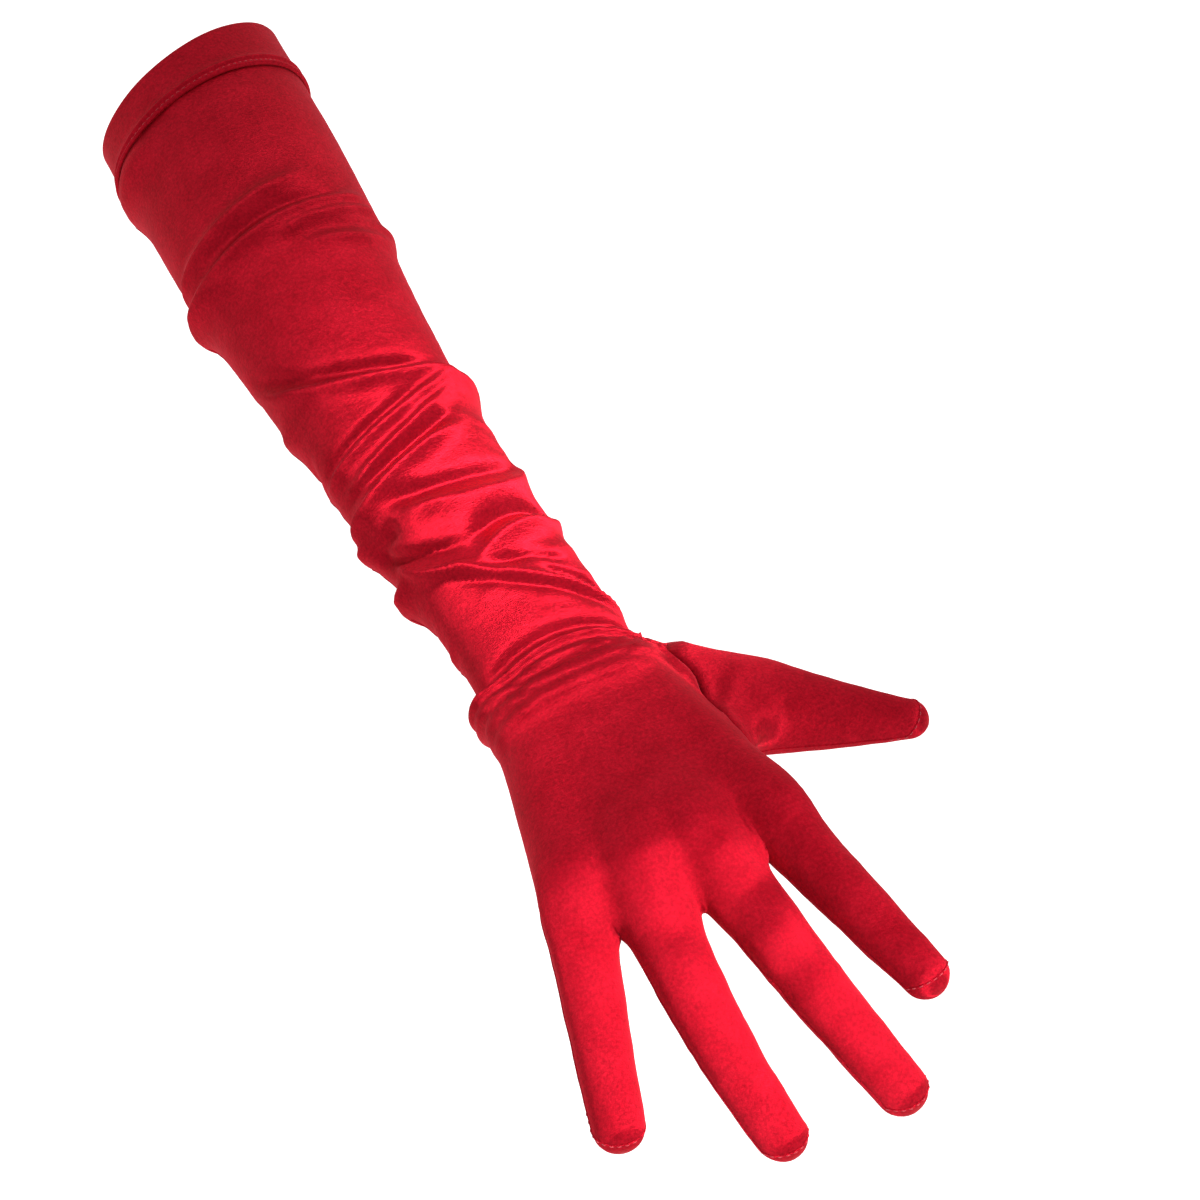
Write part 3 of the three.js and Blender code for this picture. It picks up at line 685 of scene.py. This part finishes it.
# The cloth is stretched over the knuckles, so it bridges the hollows between them.
BRIDGE = {"rounds": 220, "from": 0.25, "fade_in": 20.0, "to": 1.0, "fade_out": 16.0, "up": 2.5}
past_wrist = -points[:, 1] - SLEEVE_LENGTH
bridge = smooth((past_wrist - BRIDGE["from"] * PALM_LENGTH) / BRIDGE["fade_in"])
bridge = bridge * (1 - smooth((past_wrist - BRIDGE["to"] * PALM_LENGTH) / BRIDGE["fade_out"]))
bridge = bridge * smooth(normals[:, 2] * BRIDGE["up"]) * is_body
for _ in range(BRIDGE["rounds"]):
    rise = ((neighbour_mean(points, edges, count) - points) * normals).sum(axis=1)
    points += normals * (np.maximum(rise, 0.0) * bridge)[:, None]
normals = normals_of(points, quads)
ways = way_of_cloth(points)

# Small random gathers between the large folds
SMALL_FOLDS = {"seed": 7, "half": (18, 55), "outwards": 0.7, "lean": 0.05, "width": (0.25, 0.5)}
draw = random.Random(SMALL_FOLDS["seed"])
SMALL_FOLD_BANDS = [
    # how many, shares from and to, degrees from and to, least and most height
    (8, 0.3, 0.44, 0, 200, 0.06, 0.14),
    (8, 0.44, 0.56, 20, 200, 0.03, 0.07),
    (24, 0.58, 0.93, -20, 230, 0.06, 0.13),
    (60, 0.3, 1.0, 200, 350, 0.1, 0.3),
]
small_folds = []
for number, low, high, turn_low, turn_high, least, most in SMALL_FOLD_BANDS:
    for _ in range(number):
        middle = draw.uniform(turn_low, turn_high)
        half = draw.uniform(*SMALL_FOLDS["half"])
        share = draw.uniform(low, high)
        sign = 1 if draw.random() < SMALL_FOLDS["outwards"] else -1
        lean = draw.uniform(-SMALL_FOLDS["lean"], SMALL_FOLDS["lean"])
        from_top = (middle - 90) / 90
        small_folds.append(
            (
                share - lean * from_top,
                lean,
                0.0,
                middle - half,
                middle + half,
                sign * draw.uniform(least, most),
                draw.uniform(*SMALL_FOLDS["width"]),
            )
        )

along, degrees = sleeve_place(points)
share = along / SLEEVE_LENGTH
near_sleeve = (share < GATHERS_END) & is_body
large = np.where(near_sleeve, fold_height(share, degrees, FOLDS), 0.0)
small = np.where(near_sleeve, fold_height(share, degrees, small_folds), 0.0)
grown = large + small


def noise_at(points, size, seed):
    return np.array([noise.noise(Vector(p / size) + Vector((seed, 0, 0))) for p in points])


# Soft waves in the cloth, deeper on the fingers than on the back of the hand, and lower on the
# sides, where they would show in the outline
BROAD_WAVES = {"size": 15.0, "seed": 3.1, "hand": 0.15, "fingers": 0.7, "sides": 0.35, "up": 1.3}
FINE_WAVES = {"size": 5.0, "seed": 9.7, "hand": 0.12, "fingers": 0.2, "squeeze": (0.6, 1.3, 1.0)}
WAVES_FROM, WAVES_FADE = 0.75, 20.0
past_wrist = -points[:, 1] - SLEEVE_LENGTH
past_knuckles = smooth((past_wrist - WAVES_FROM * PALM_LENGTH) / WAVES_FADE)
broad = noise_at(points, BROAD_WAVES["size"], BROAD_WAVES["seed"])
broad = broad * mix(BROAD_WAVES["hand"], BROAD_WAVES["fingers"], past_knuckles)
broad = broad * mix(BROAD_WAVES["sides"], 1.0, smooth(np.abs(normals[:, 2]) * BROAD_WAVES["up"]))
squeezed = points * np.array(FINE_WAVES["squeeze"])
fine_wave = noise_at(squeezed, FINE_WAVES["size"], FINE_WAVES["seed"])
fine_wave = fine_wave * mix(FINE_WAVES["hand"], FINE_WAVES["fingers"], past_knuckles)
grown = grown + broad + fine_wave

# Folds across the fingers and the thumb: digit from the index finger on, share along it, lean
# over a quarter turn, degrees from and to, height and half width in millimetres
DIGIT_CREST = 1.7
DIGIT_FOLDS = [
    (0, 0.3, 0.02, 0, 180, -0.3, 5.0),
    (1, 0.25, 0.03, 0, 190, -1.9, 7.0),
    (1, 0.4, 0.04, 0, 190, 0.8, 5.0),
    (1, 0.5, 0.03, 20, 200, -1.0, 5.0),
    (2, 0.27, 0.0, 30, 190, -1.6, 6.0),
    (2, 0.78, 0.02, 0, 180, -1.0, 5.0),
    (3, 0.3, 0.02, 0, 150, -0.7, 6.0),
    (4, 0.42, -0.03, 40, 170, 0.8, 3.0),
    (4, 0.53, -0.05, 20, 170, 0.8, 3.4),
]
digit_of, digit_share, digit_degrees = digit_place(points)
on_digit = on_hand & (is_body == (digit_of < len(fingers)))
for digit, at, lean, start, end, tall, wide in DIGIT_FOLDS:
    middle, half = (start + end) / 2, (end - start) / 2
    turn = (digit_degrees - middle + 180.0) % 360.0 - 180.0
    reach = smooth((1 - np.abs(turn) / half) * FOLD_FADE)
    length = np.linalg.norm(np.diff(digits[digit]["axis"], axis=0), axis=1).sum()
    s = (digit_share - at - lean * (middle + turn - 90) / 90) * length / wide
    height = tall * reach * np.exp(-(np.abs(s) ** DIGIT_CREST))
    grown = grown + np.where((digit_of == digit) & on_digit, height, 0.0)

# The knuckles stand up in one low arc across the back of the hand.
KNUCKLES = {"at": 80.0, "middle": 15.0, "bend": 0.2, "height": 2.4, "up": 1.6}
KNUCKLE_WIDTH = {"wrist_side": 15.0, "finger_side": 18.0}
s = past_wrist - KNUCKLES["at"] - KNUCKLES["bend"] * np.abs(points[:, 0] - KNUCKLES["middle"])
s = s / np.where(s < 0, KNUCKLE_WIDTH["wrist_side"], KNUCKLE_WIDTH["finger_side"])
arc = KNUCKLES["height"] * np.exp(-(s**2)) * smooth(normals[:, 2] * KNUCKLES["up"])
grown = grown + arc * is_body * on_hand

# The cloth dips where the thumb is sewn in, with a low ridge on both sides.
THUMB_SEAM = {"dip": 0.7, "dip_width": 1.2, "ridge": 0.35, "ridge_at": 2.8, "ridge_width": 1.3}
body_points = np.zeros(len(points), bool)
body_points[np.unique(quads[pieces == BODY])] = True
on_thumb_seam = body_points & ~is_body
tree = KDTree(int(on_thumb_seam.sum()))
for index in np.flatnonzero(on_thumb_seam):
    tree.insert(Vector(points[index]), int(index))
tree.balance()
near_thumb = np.flatnonzero(on_hand & (-points[:, 1] < SLEEVE_LENGTH + PALM_LENGTH))
gap = np.array([tree.find(Vector(points[index]))[2] for index in near_thumb])
from_ridge = (gap - THUMB_SEAM["ridge_at"]) / THUMB_SEAM["ridge_width"]
ridge = THUMB_SEAM["ridge"] * np.exp(-(from_ridge**2))
dip = THUMB_SEAM["dip"] * np.exp(-((gap / THUMB_SEAM["dip_width"]) ** 2))
grown[near_thumb] += ridge - dip
points = points + normals * grown[:, None]
leans = smooth((share - FOLD_LEAN_OVER["from"]) / FOLD_LEAN_OVER["fade"])
points[:, 1] += FOLD_LEAN_OVER["share"] * np.clip(large, 0.0, None) * leans


# Meshes from the cloth
def set_across(mesh, ways):
    """Keeps the direction around the arm or finger on the mesh, for the satin's gloss."""
    size = len(mesh.vertices)
    normal = np.empty(size * 3)
    mesh.vertices.foreach_get("normal", normal)
    across = np.cross(ways, normal.reshape(-1, 3))
    across /= np.maximum(np.linalg.norm(across, axis=1, keepdims=True), 0.001)
    attribute = mesh.attributes.new("across", "FLOAT_VECTOR", "POINT")
    attribute.data.foreach_set("vector", across.ravel())


def cloth_mesh(name, points, quads, wall):
    """A closed wall of cloth: the outer quads, their copy inside, and a rim on the open edges."""
    used, packed = np.unique(quads, return_inverse=True)
    quads = packed.reshape(-1, 4)
    outer = points[used]
    inner = outer - normals_of(outer, quads) * wall
    size = len(outer)
    directed = {}
    for quad in quads:
        for k in range(4):
            directed[(quad[k], quad[(k + 1) % 4])] = True
    rim = [(b, a, a + size, b + size) for a, b in directed if (b, a) not in directed]
    faces = np.concatenate([quads, quads[:, ::-1] + size, np.array(rim)])
    mesh = plain_mesh(name, np.concatenate([outer, inner]) * MM, faces)
    set_across(mesh, np.concatenate([ways[used], ways[used]]))
    return mesh


def add_piece(name, mesh, material, *nodes):
    for polygon in mesh.polygons:
        polygon.use_smooth = True
    mesh.materials.append(material)
    piece = bpy.data.objects.new(name, mesh)
    bpy.context.scene.collection.objects.link(piece)
    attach(piece, "root")
    if nodes:
        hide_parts(*nodes)
    return piece


# Satin: its gloss is stretched across the arm and the fingers
SATIN_VALUES = {
    "Metallic": 0.7,
    "Specular IOR Level": 0.35,
    "Specular Tint": (1.0, 0.35, 0.4, 1.0),
    "Sheen Weight": 0.1,
    "Sheen Roughness": 0.4,
    "Sheen Tint": (1.0, 0.25, 0.3, 1.0),
    "Anisotropic": 0.95,
}
SATIN_COLOURS = {0.3: (0.40, 0.003, 0.013, 1), 0.7: (0.50, 0.006, 0.02, 1)}
SATIN_ROUGHNESS = (0.53, 0.63)
SPECKLE = {"From Min": 0.3, "From Max": 0.7, "To Min": 0.72, "To Max": 1.2}
THREAD_STRETCH = (0.3, 1.5, 0.3)
WEAVE_BUMP = {"Strength": 0.4, "Distance": 0.0002}
GRAIN_BUMP = {"Strength": 0.25, "Distance": 0.0006}


def set_values(node, values):
    for key, value in values.items():
        node.inputs[key].default_value = value


def satin_material(name):
    material = bpy.data.materials.new(name)
    material.use_nodes = True
    tree = material.node_tree
    nodes, link = tree.nodes, tree.links.new
    shader = nodes["Principled BSDF"]
    set_values(shader, SATIN_VALUES)
    across = nodes.new("ShaderNodeAttribute")
    across.attribute_name = "across"
    link(across.outputs["Vector"], shader.inputs["Tangent"])
    place = nodes.new("ShaderNodeTexCoord")

    def noise_texture(scale, detail, roughness):
        node = nodes.new("ShaderNodeTexNoise")
        set_values(node, {"Scale": scale, "Detail": detail, "Roughness": roughness})
        link(place.outputs["Object"], node.inputs["Vector"])
        return node

    mottle = noise_texture(70.0, 4.0, 0.6)
    colour = nodes.new("ShaderNodeValToRGB")
    for element, (position, value) in zip(colour.color_ramp.elements, SATIN_COLOURS.items()):
        element.position = position
        element.color = value
    link(mottle.outputs["Fac"], colour.inputs["Fac"])
    speckle = noise_texture(900.0, 2.0, 0.7)
    depth = nodes.new("ShaderNodeMapRange")
    set_values(depth, SPECKLE)
    link(speckle.outputs["Fac"], depth.inputs["Value"])
    shaded = nodes.new("ShaderNodeMix")
    shaded.data_type = "RGBA"
    shaded.blend_type = "MULTIPLY"
    shaded.inputs["Factor"].default_value = 1.0
    link(colour.outputs["Color"], shaded.inputs["A"])
    link(depth.outputs["Result"], shaded.inputs["B"])
    link(shaded.outputs["Result"], shader.inputs["Base Color"])

    fine = noise_texture(420.0, 3.0, 0.6)
    rough = nodes.new("ShaderNodeMapRange")
    set_values(rough, {"To Min": SATIN_ROUGHNESS[0], "To Max": SATIN_ROUGHNESS[1]})
    link(fine.outputs["Fac"], rough.inputs["Value"])
    link(rough.outputs["Result"], shader.inputs["Roughness"])

    stretched = nodes.new("ShaderNodeMapping")
    stretched.inputs["Scale"].default_value = THREAD_STRETCH
    link(place.outputs["Object"], stretched.inputs["Vector"])
    threads = noise_texture(1500.0, 2.0, 0.5)
    link(stretched.outputs["Vector"], threads.inputs["Vector"])
    weave = nodes.new("ShaderNodeBump")
    set_values(weave, WEAVE_BUMP)
    link(threads.outputs["Fac"], weave.inputs["Height"])
    grain = nodes.new("ShaderNodeBump")
    set_values(grain, GRAIN_BUMP)
    link(fine.outputs["Fac"], grain.inputs["Height"])
    link(weave.outputs["Normal"], grain.inputs["Normal"])
    link(grain.outputs["Normal"], shader.inputs["Normal"])
    return material


satin = satin_material("satin")

body_mesh = cloth_mesh("glove_body", points, quads[pieces == BODY], CLOTH)
add_piece("glove_body", body_mesh, satin, "sleeve", "hand")
thumb_mesh = cloth_mesh("glove_thumb", points, quads[pieces == THUMB_PIECE], CLOTH)
add_piece("glove_thumb", thumb_mesh, satin, "thumb")

# Thread, twisted and a little uneven in colour
THREAD_COLOURS = ((0.4, 0.005, 0.018, 1), (0.5, 0.01, 0.028, 1))


def thread_material():
    material = bpy.data.materials.new("thread")
    material.use_nodes = True
    tree = material.node_tree
    nodes, link = tree.nodes, tree.links.new
    shader = nodes["Principled BSDF"]
    set_values(shader, {"Roughness": 0.5, "Sheen Weight": 0.3})
    place = nodes.new("ShaderNodeTexCoord")
    twist = nodes.new("ShaderNodeTexWave")
    twist.bands_direction = "DIAGONAL"
    twist.inputs["Scale"].default_value = 900.0
    shade = nodes.new("ShaderNodeTexNoise")
    shade.inputs["Scale"].default_value = 160.0
    colour = nodes.new("ShaderNodeValToRGB")
    for element, value in zip(colour.color_ramp.elements, THREAD_COLOURS):
        element.color = value
    bump = nodes.new("ShaderNodeBump")
    set_values(bump, {"Strength": 0.5, "Distance": 0.0001})
    link(place.outputs["Object"], twist.inputs["Vector"])
    link(place.outputs["Object"], shade.inputs["Vector"])
    link(shade.outputs["Fac"], colour.inputs["Fac"])
    link(colour.outputs["Color"], shader.inputs["Base Color"])
    link(twist.outputs["Fac"], bump.inputs["Height"])
    link(bump.outputs["Normal"], shader.inputs["Normal"])
    return material


thread = thread_material()
surface_faces = [tuple(int(i) for i in quad) for quad in quads]
surface = BVHTree.FromPolygons([Vector(p) for p in points], surface_faces)


def on_cloth(path, sunk):
    """Moves a path on to the cloth and sinks it. Returns its points and the normals there."""
    places, ups = [], []
    for p in path:
        place, up, _, _ = surface.find_nearest(Vector(p))
        places.append(np.array(place) - sunk * np.array(up))
        ups.append(np.array(up))
    return np.array(places), np.array(ups)


def even_path(path, step):
    """The same path with its points a step apart."""
    lengths = np.linalg.norm(np.diff(path, axis=0), axis=1)
    reach = np.concatenate([[0.0], np.cumsum(lengths)])
    at = np.linspace(0.0, reach[-1], max(2, int(round(reach[-1] / step)) + 1))
    return np.stack([np.interp(at, reach, path[:, k]) for k in range(3)], axis=1)


TUBE_SIDES = 6


def tube(path, ups, radii):
    """A closed round tube along a path. Returns its points and faces."""
    ahead = np.gradient(path, axis=0)
    ahead /= np.linalg.norm(ahead, axis=1, keepdims=True)
    side = np.cross(ahead, ups)
    side /= np.linalg.norm(side, axis=1, keepdims=True)
    turns = 2 * math.pi * np.arange(TUBE_SIDES) / TUBE_SIDES
    rings = [path + radii[:, None] * (math.cos(a) * side + math.sin(a) * ups) for a in turns]
    tube_points = np.stack(rings, axis=1).reshape(-1, 3)
    faces = []
    for j in range(len(path) - 1):
        for i in range(TUBE_SIDES):
            k = (i + 1) % TUBE_SIDES
            a, b = j * TUBE_SIDES, (j + 1) * TUBE_SIDES
            faces.append((a + i, b + i, b + k, a + k))
    faces.append(tuple(range(TUBE_SIDES)))
    faces.append(tuple(len(tube_points) - 1 - i for i in range(TUBE_SIDES)))
    return tube_points, faces


def join(parts):
    all_points, all_faces, start = [], [], 0
    for part_points, part_faces in parts:
        all_points.append(part_points)
        all_faces += [tuple(i + start for i in face) for face in part_faces]
        start += len(part_points)
    return np.concatenate(all_points), all_faces


STITCH = {"length": 1.7, "pitch": 2.6, "radius": 0.17, "ends_sunk": 1.6}
STITCH_AT = np.array([0.0, 0.25, 0.5, 0.75, 1.0])
STITCH_SHAPE = np.array([0.4, 0.9, 1.0, 0.9, 0.4])


def stitches(path, ups):
    """A row of short threads along a path that lies on the cloth."""
    parts = []
    lengths = np.linalg.norm(np.diff(path, axis=0), axis=1)
    reach = np.concatenate([[0.0], np.cumsum(lengths)])
    sunk = STITCH["radius"] * STITCH["ends_sunk"] * np.abs(STITCH_AT - 0.5) ** 2 * 4
    for number in range(int(reach[-1] / STITCH["pitch"])):
        at = number * STITCH["pitch"] + STITCH_AT * STITCH["length"]
        line = np.stack([np.interp(at, reach, path[:, k]) for k in range(3)], axis=1)
        up = np.stack([np.interp(at, reach, ups[:, k]) for k in range(3)], axis=1)
        line -= up * sunk[:, None]
        parts.append(tube(line, up, STITCH["radius"] * STITCH_SHAPE))
    return parts


# Seams run along both sides of each finger and over the back of its tip, where stitches hold them.
SEAM_RADIUS = 0.5
SEAM_SUNK = 0.12
SEAM_STEP = 1.6
TIP_STEPS = 8
TIP_TILT = math.radians(52.0)
SEAM_POINTS = {"side": 14, "tip": 12}
SEAM_FADE_STEPS = 4
STITCH_RISE = (SEAM_RADIUS + SEAM_SUNK) * 0.9
# Shares along each finger, and along the thumb, where its two side seams start
SEAM_STARTS = [(0.3, 0.3), (0.3, 0.3), (0.3, 0.28), (0.28, 0.1)]
THUMB_SEAM_STARTS = (0.42, 0.3)
seam_parts, stitch_parts = [], []


def digit_seam(digit, starts):
    right, left = starts
    path = []
    for share in np.linspace(right, 1.0, SEAM_POINTS["side"]):
        path.append(ring_point(frame_of(digit, share), 0.0))
    foot = frame_of(digit, 1.0)
    over = math.cos(TIP_TILT) * foot["ahead"] + math.sin(TIP_TILT) * foot["up"]
    for a in np.linspace(0.0, math.pi, SEAM_POINTS["tip"])[1:-1]:
        across = math.cos(a) * foot["side"] + math.sin(a) * over
        path.append(foot["middle"] + foot["radius"] * across)
    for share in np.linspace(1.0, left, SEAM_POINTS["side"]):
        path.append(ring_point(frame_of(digit, share), 180.0))
    path, ups = on_cloth(even_path(np.array(path), SEAM_STEP), SEAM_SUNK)
    from_end = np.minimum(np.arange(len(path)), np.arange(len(path))[::-1])
    fade = np.minimum(1.0, (from_end + 1) / SEAM_FADE_STEPS)
    seam_parts.append(tube(path, ups, SEAM_RADIUS * fade))
    middle = len(path) // 2
    tip = slice(middle - TIP_STEPS, middle + TIP_STEPS + 1)
    stitch_parts.extend(stitches((path + ups * STITCH_RISE)[tip], ups[tip]))


for finger, starts in zip(fingers, SEAM_STARTS):
    digit_seam(finger, starts)
digit_seam(thumb, THUMB_SEAM_STARTS)

# One seam runs down the little finger's side of the sleeve, a little underneath.
SIDE_SEAM = {"degrees": 205.0, "from": 29.0, "to": 322.0}
reach = np.arange(SIDE_SEAM["from"], SIDE_SEAM["to"], SEAM_STEP)
path, ups = on_cloth(sleeve_point(reach, SIDE_SEAM["degrees"]), SEAM_SUNK)
seam_parts.append(tube(path, ups, np.full(len(path), SEAM_RADIUS)))


def add_seams(name, parts, material):
    seam_points, seam_faces = join(parts)
    mesh = plain_mesh(name, seam_points * MM, seam_faces)
    set_across(mesh, way_of_cloth(seam_points))
    add_piece(name, mesh, material)


add_seams("seam_ridges", seam_parts, satin)

# The hem: its profile across the band, as the distance from the rim and the distance out from the
# sleeve's surface. It runs up the outside over two ridges, around the rim and down the inside.
HEM_PROFILE = [
    (28.2, 0.0), (28.1, 0.9), (27.5, 1.7), (26.8, 1.75), (26.0, 0.9), (25.2, 0.5), (24.4, 0.8),
    (23.7, 1.6), (22.9, 1.7), (22.0, 1.0), (20.5, 0.5), (17.0, 0.45), (13.0, 0.4), (9.0, 0.35),
    (5.0, 0.35), (2.5, 0.4), (1.0, 0.4), (0.2, 0.1), (-0.2, -0.4), (0.1, -1.0), (0.9, -1.35),
    (3.0, -1.4), (8.0, -1.4), (14.0, -1.4), (20.0, -1.4), (25.0, -1.4), (26.5, -1.3), (27.0, -1.0),
]
HEM_COLUMNS = 168
HEM_WAVES = {"height": 0.35, "size": 22.0, "seed": 5.3, "squeeze": (1.0, 0.4, 1.0)}
hem_degrees = 360.0 * np.arange(HEM_COLUMNS) / HEM_COLUMNS
hem_rows = []
for reach, out in HEM_PROFILE:
    bulge = fold_height(np.full(HEM_COLUMNS, reach / SLEEVE_LENGTH), hem_degrees, [HEM_BULGE])
    base = sleeve_point(reach, hem_degrees, out + bulge)
    squeezed = base * np.array(HEM_WAVES["squeeze"])
    wave = HEM_WAVES["height"] * noise_at(squeezed, HEM_WAVES["size"], HEM_WAVES["seed"])
    hem_rows.append(sleeve_point(reach, hem_degrees, out + bulge + wave))
hem_points = np.concatenate(hem_rows)
hem_faces = []
for j in range(len(HEM_PROFILE)):
    following = (j + 1) % len(HEM_PROFILE)
    for i in range(HEM_COLUMNS):
        k = (i + 1) % HEM_COLUMNS
        hem_faces.append(
            (
                j * HEM_COLUMNS + i,
                following * HEM_COLUMNS + i,
                following * HEM_COLUMNS + k,
                j * HEM_COLUMNS + k,
            )
        )
hem_mesh = plain_mesh("top_hem_band", hem_points * MM, hem_faces)
set_across(hem_mesh, np.broadcast_to(np.array([0.0, -1.0, 0.0]), hem_points.shape))
add_piece("top_hem_band", hem_mesh, satin, "top_hem")

# A row of stitches holds the hem down, in the groove between its two ridges.
HEM_STITCHES = {"at": 25.2, "out": 0.65, "points": 240}
around = np.linspace(0.0, 360.0, HEM_STITCHES["points"])
level = np.zeros(len(around))
bulge = fold_height(level + HEM_STITCHES["at"] / SLEEVE_LENGTH, around, [HEM_BULGE])
path = sleeve_point(HEM_STITCHES["at"], around, HEM_STITCHES["out"] + bulge)
ups = np.stack([np.cos(np.radians(around)), level, np.sin(np.radians(around))], axis=1)
stitch_parts.extend(stitches(path, ups))
add_seams("stitches", stitch_parts, thread)

# Camera at the photo's angle, soft studio light and a pale floor
TARGET = Vector((0.0340, -0.3005, 0.0006))
AZIMUTH, ELEVATION, DISTANCE = math.radians(-26.4), math.radians(52.6), 1.05
backward = Vector(
    (
        math.sin(AZIMUTH) * math.cos(ELEVATION),
        -math.cos(AZIMUTH) * math.cos(ELEVATION),
        math.sin(ELEVATION),
    )
)
camera_data = bpy.data.cameras.new("camera")
camera_data.lens = 90.0
camera_data.sensor_width = 36.0
camera_data.clip_end = 50.0
camera = bpy.data.objects.new("camera", camera_data)
camera.location = TARGET + backward * DISTANCE
camera.rotation_euler = backward.to_track_quat("Z", "Y").to_euler()
bpy.context.scene.collection.objects.link(camera)
bpy.context.scene.camera = camera


def area_light(name, place, aim, size, power, spread):
    data = bpy.data.lights.new(name, "AREA")
    data.shape = "RECTANGLE"
    data.size, data.size_y = size
    data.energy = power
    data.spread = math.radians(spread)
    light = bpy.data.objects.new(name, data)
    light.location = place
    light.rotation_euler = (Vector(place) - Vector(aim)).to_track_quat("Z", "Y").to_euler()
    bpy.context.scene.collection.objects.link(light)


# How far the lit cloth tilts towards the thumb's side
LIT_TILT = 0.09


def mirror_light(name, point, slope, distance, size, power, spread):
    """A light that cloth at the point mirrors to the camera, where it drops by slope degrees."""
    point = Vector(point)
    to_camera = (camera.location - point).normalized()
    facing = Vector((LIT_TILT, -math.sin(math.radians(slope)), math.cos(math.radians(slope))))
    facing = facing.normalized()
    to_light = 2 * facing.dot(to_camera) * facing - to_camera
    area_light(name, point + to_light * distance, point, size, power, spread)


# The lights: name, point aimed at, slope of the lit cloth, distance, size, power, spread in degrees
LIGHTS = [
    ("upper_light", (0.0, -0.1, 0.03), 8.0, 0.95, (0.1, 0.1), 0.018, 15.0),
    ("sleeve_light", (0.0, -0.262, 0.02), 10.0, 0.95, (0.1, 0.1), 0.125, 13.0),
    ("knuckle_light", (-0.01, -0.452, 0.02), 15.0, 1.5, (0.1, 0.1), 0.026, 6.5),
    ("finger_light", (-0.018, -0.49, 0.0), 25.0, 1.5, (0.2, 0.2), 0.12, 10.0),
    ("tip_light", (-0.018, -0.52, 0.0), 37.0, 1.5, (0.25, 0.2), 0.13, 11.0),
]
for light_row in LIGHTS:
    mirror_light(*light_row)

world = bpy.data.worlds.new("world")
bpy.context.scene.world = world
world.use_nodes = True
set_values(world.node_tree.nodes["Background"], {"Color": (1.0, 1.0, 1.0, 1.0), "Strength": 0.75})

FLOOR_DROP = 0.45
FLOOR_SIZE = 12.0
FLOOR_VALUES = {
    "Base Color": (0.95, 0.95, 0.95, 1),
    "Roughness": 0.9,
    "Emission Color": (1, 1, 1, 1),
    "Emission Strength": 0.75,
}
half = FLOOR_SIZE / 2
corners = [(-half, -half), (half, -half), (half, half), (-half, half)]
floor_mesh = plain_mesh("floor", [(x, y, -FLOOR_DROP) for x, y in corners], [(0, 1, 2, 3)])
floor = bpy.data.objects.new("floor", floor_mesh)
bpy.context.scene.collection.objects.link(floor)
floor_material = bpy.data.materials.new("floor")
floor_material.use_nodes = True
set_values(floor_material.node_tree.nodes["Principled BSDF"], FLOOR_VALUES)
floor_mesh.materials.append(floor_material)

bpy.context.scene.view_settings.view_transform = "Standard"
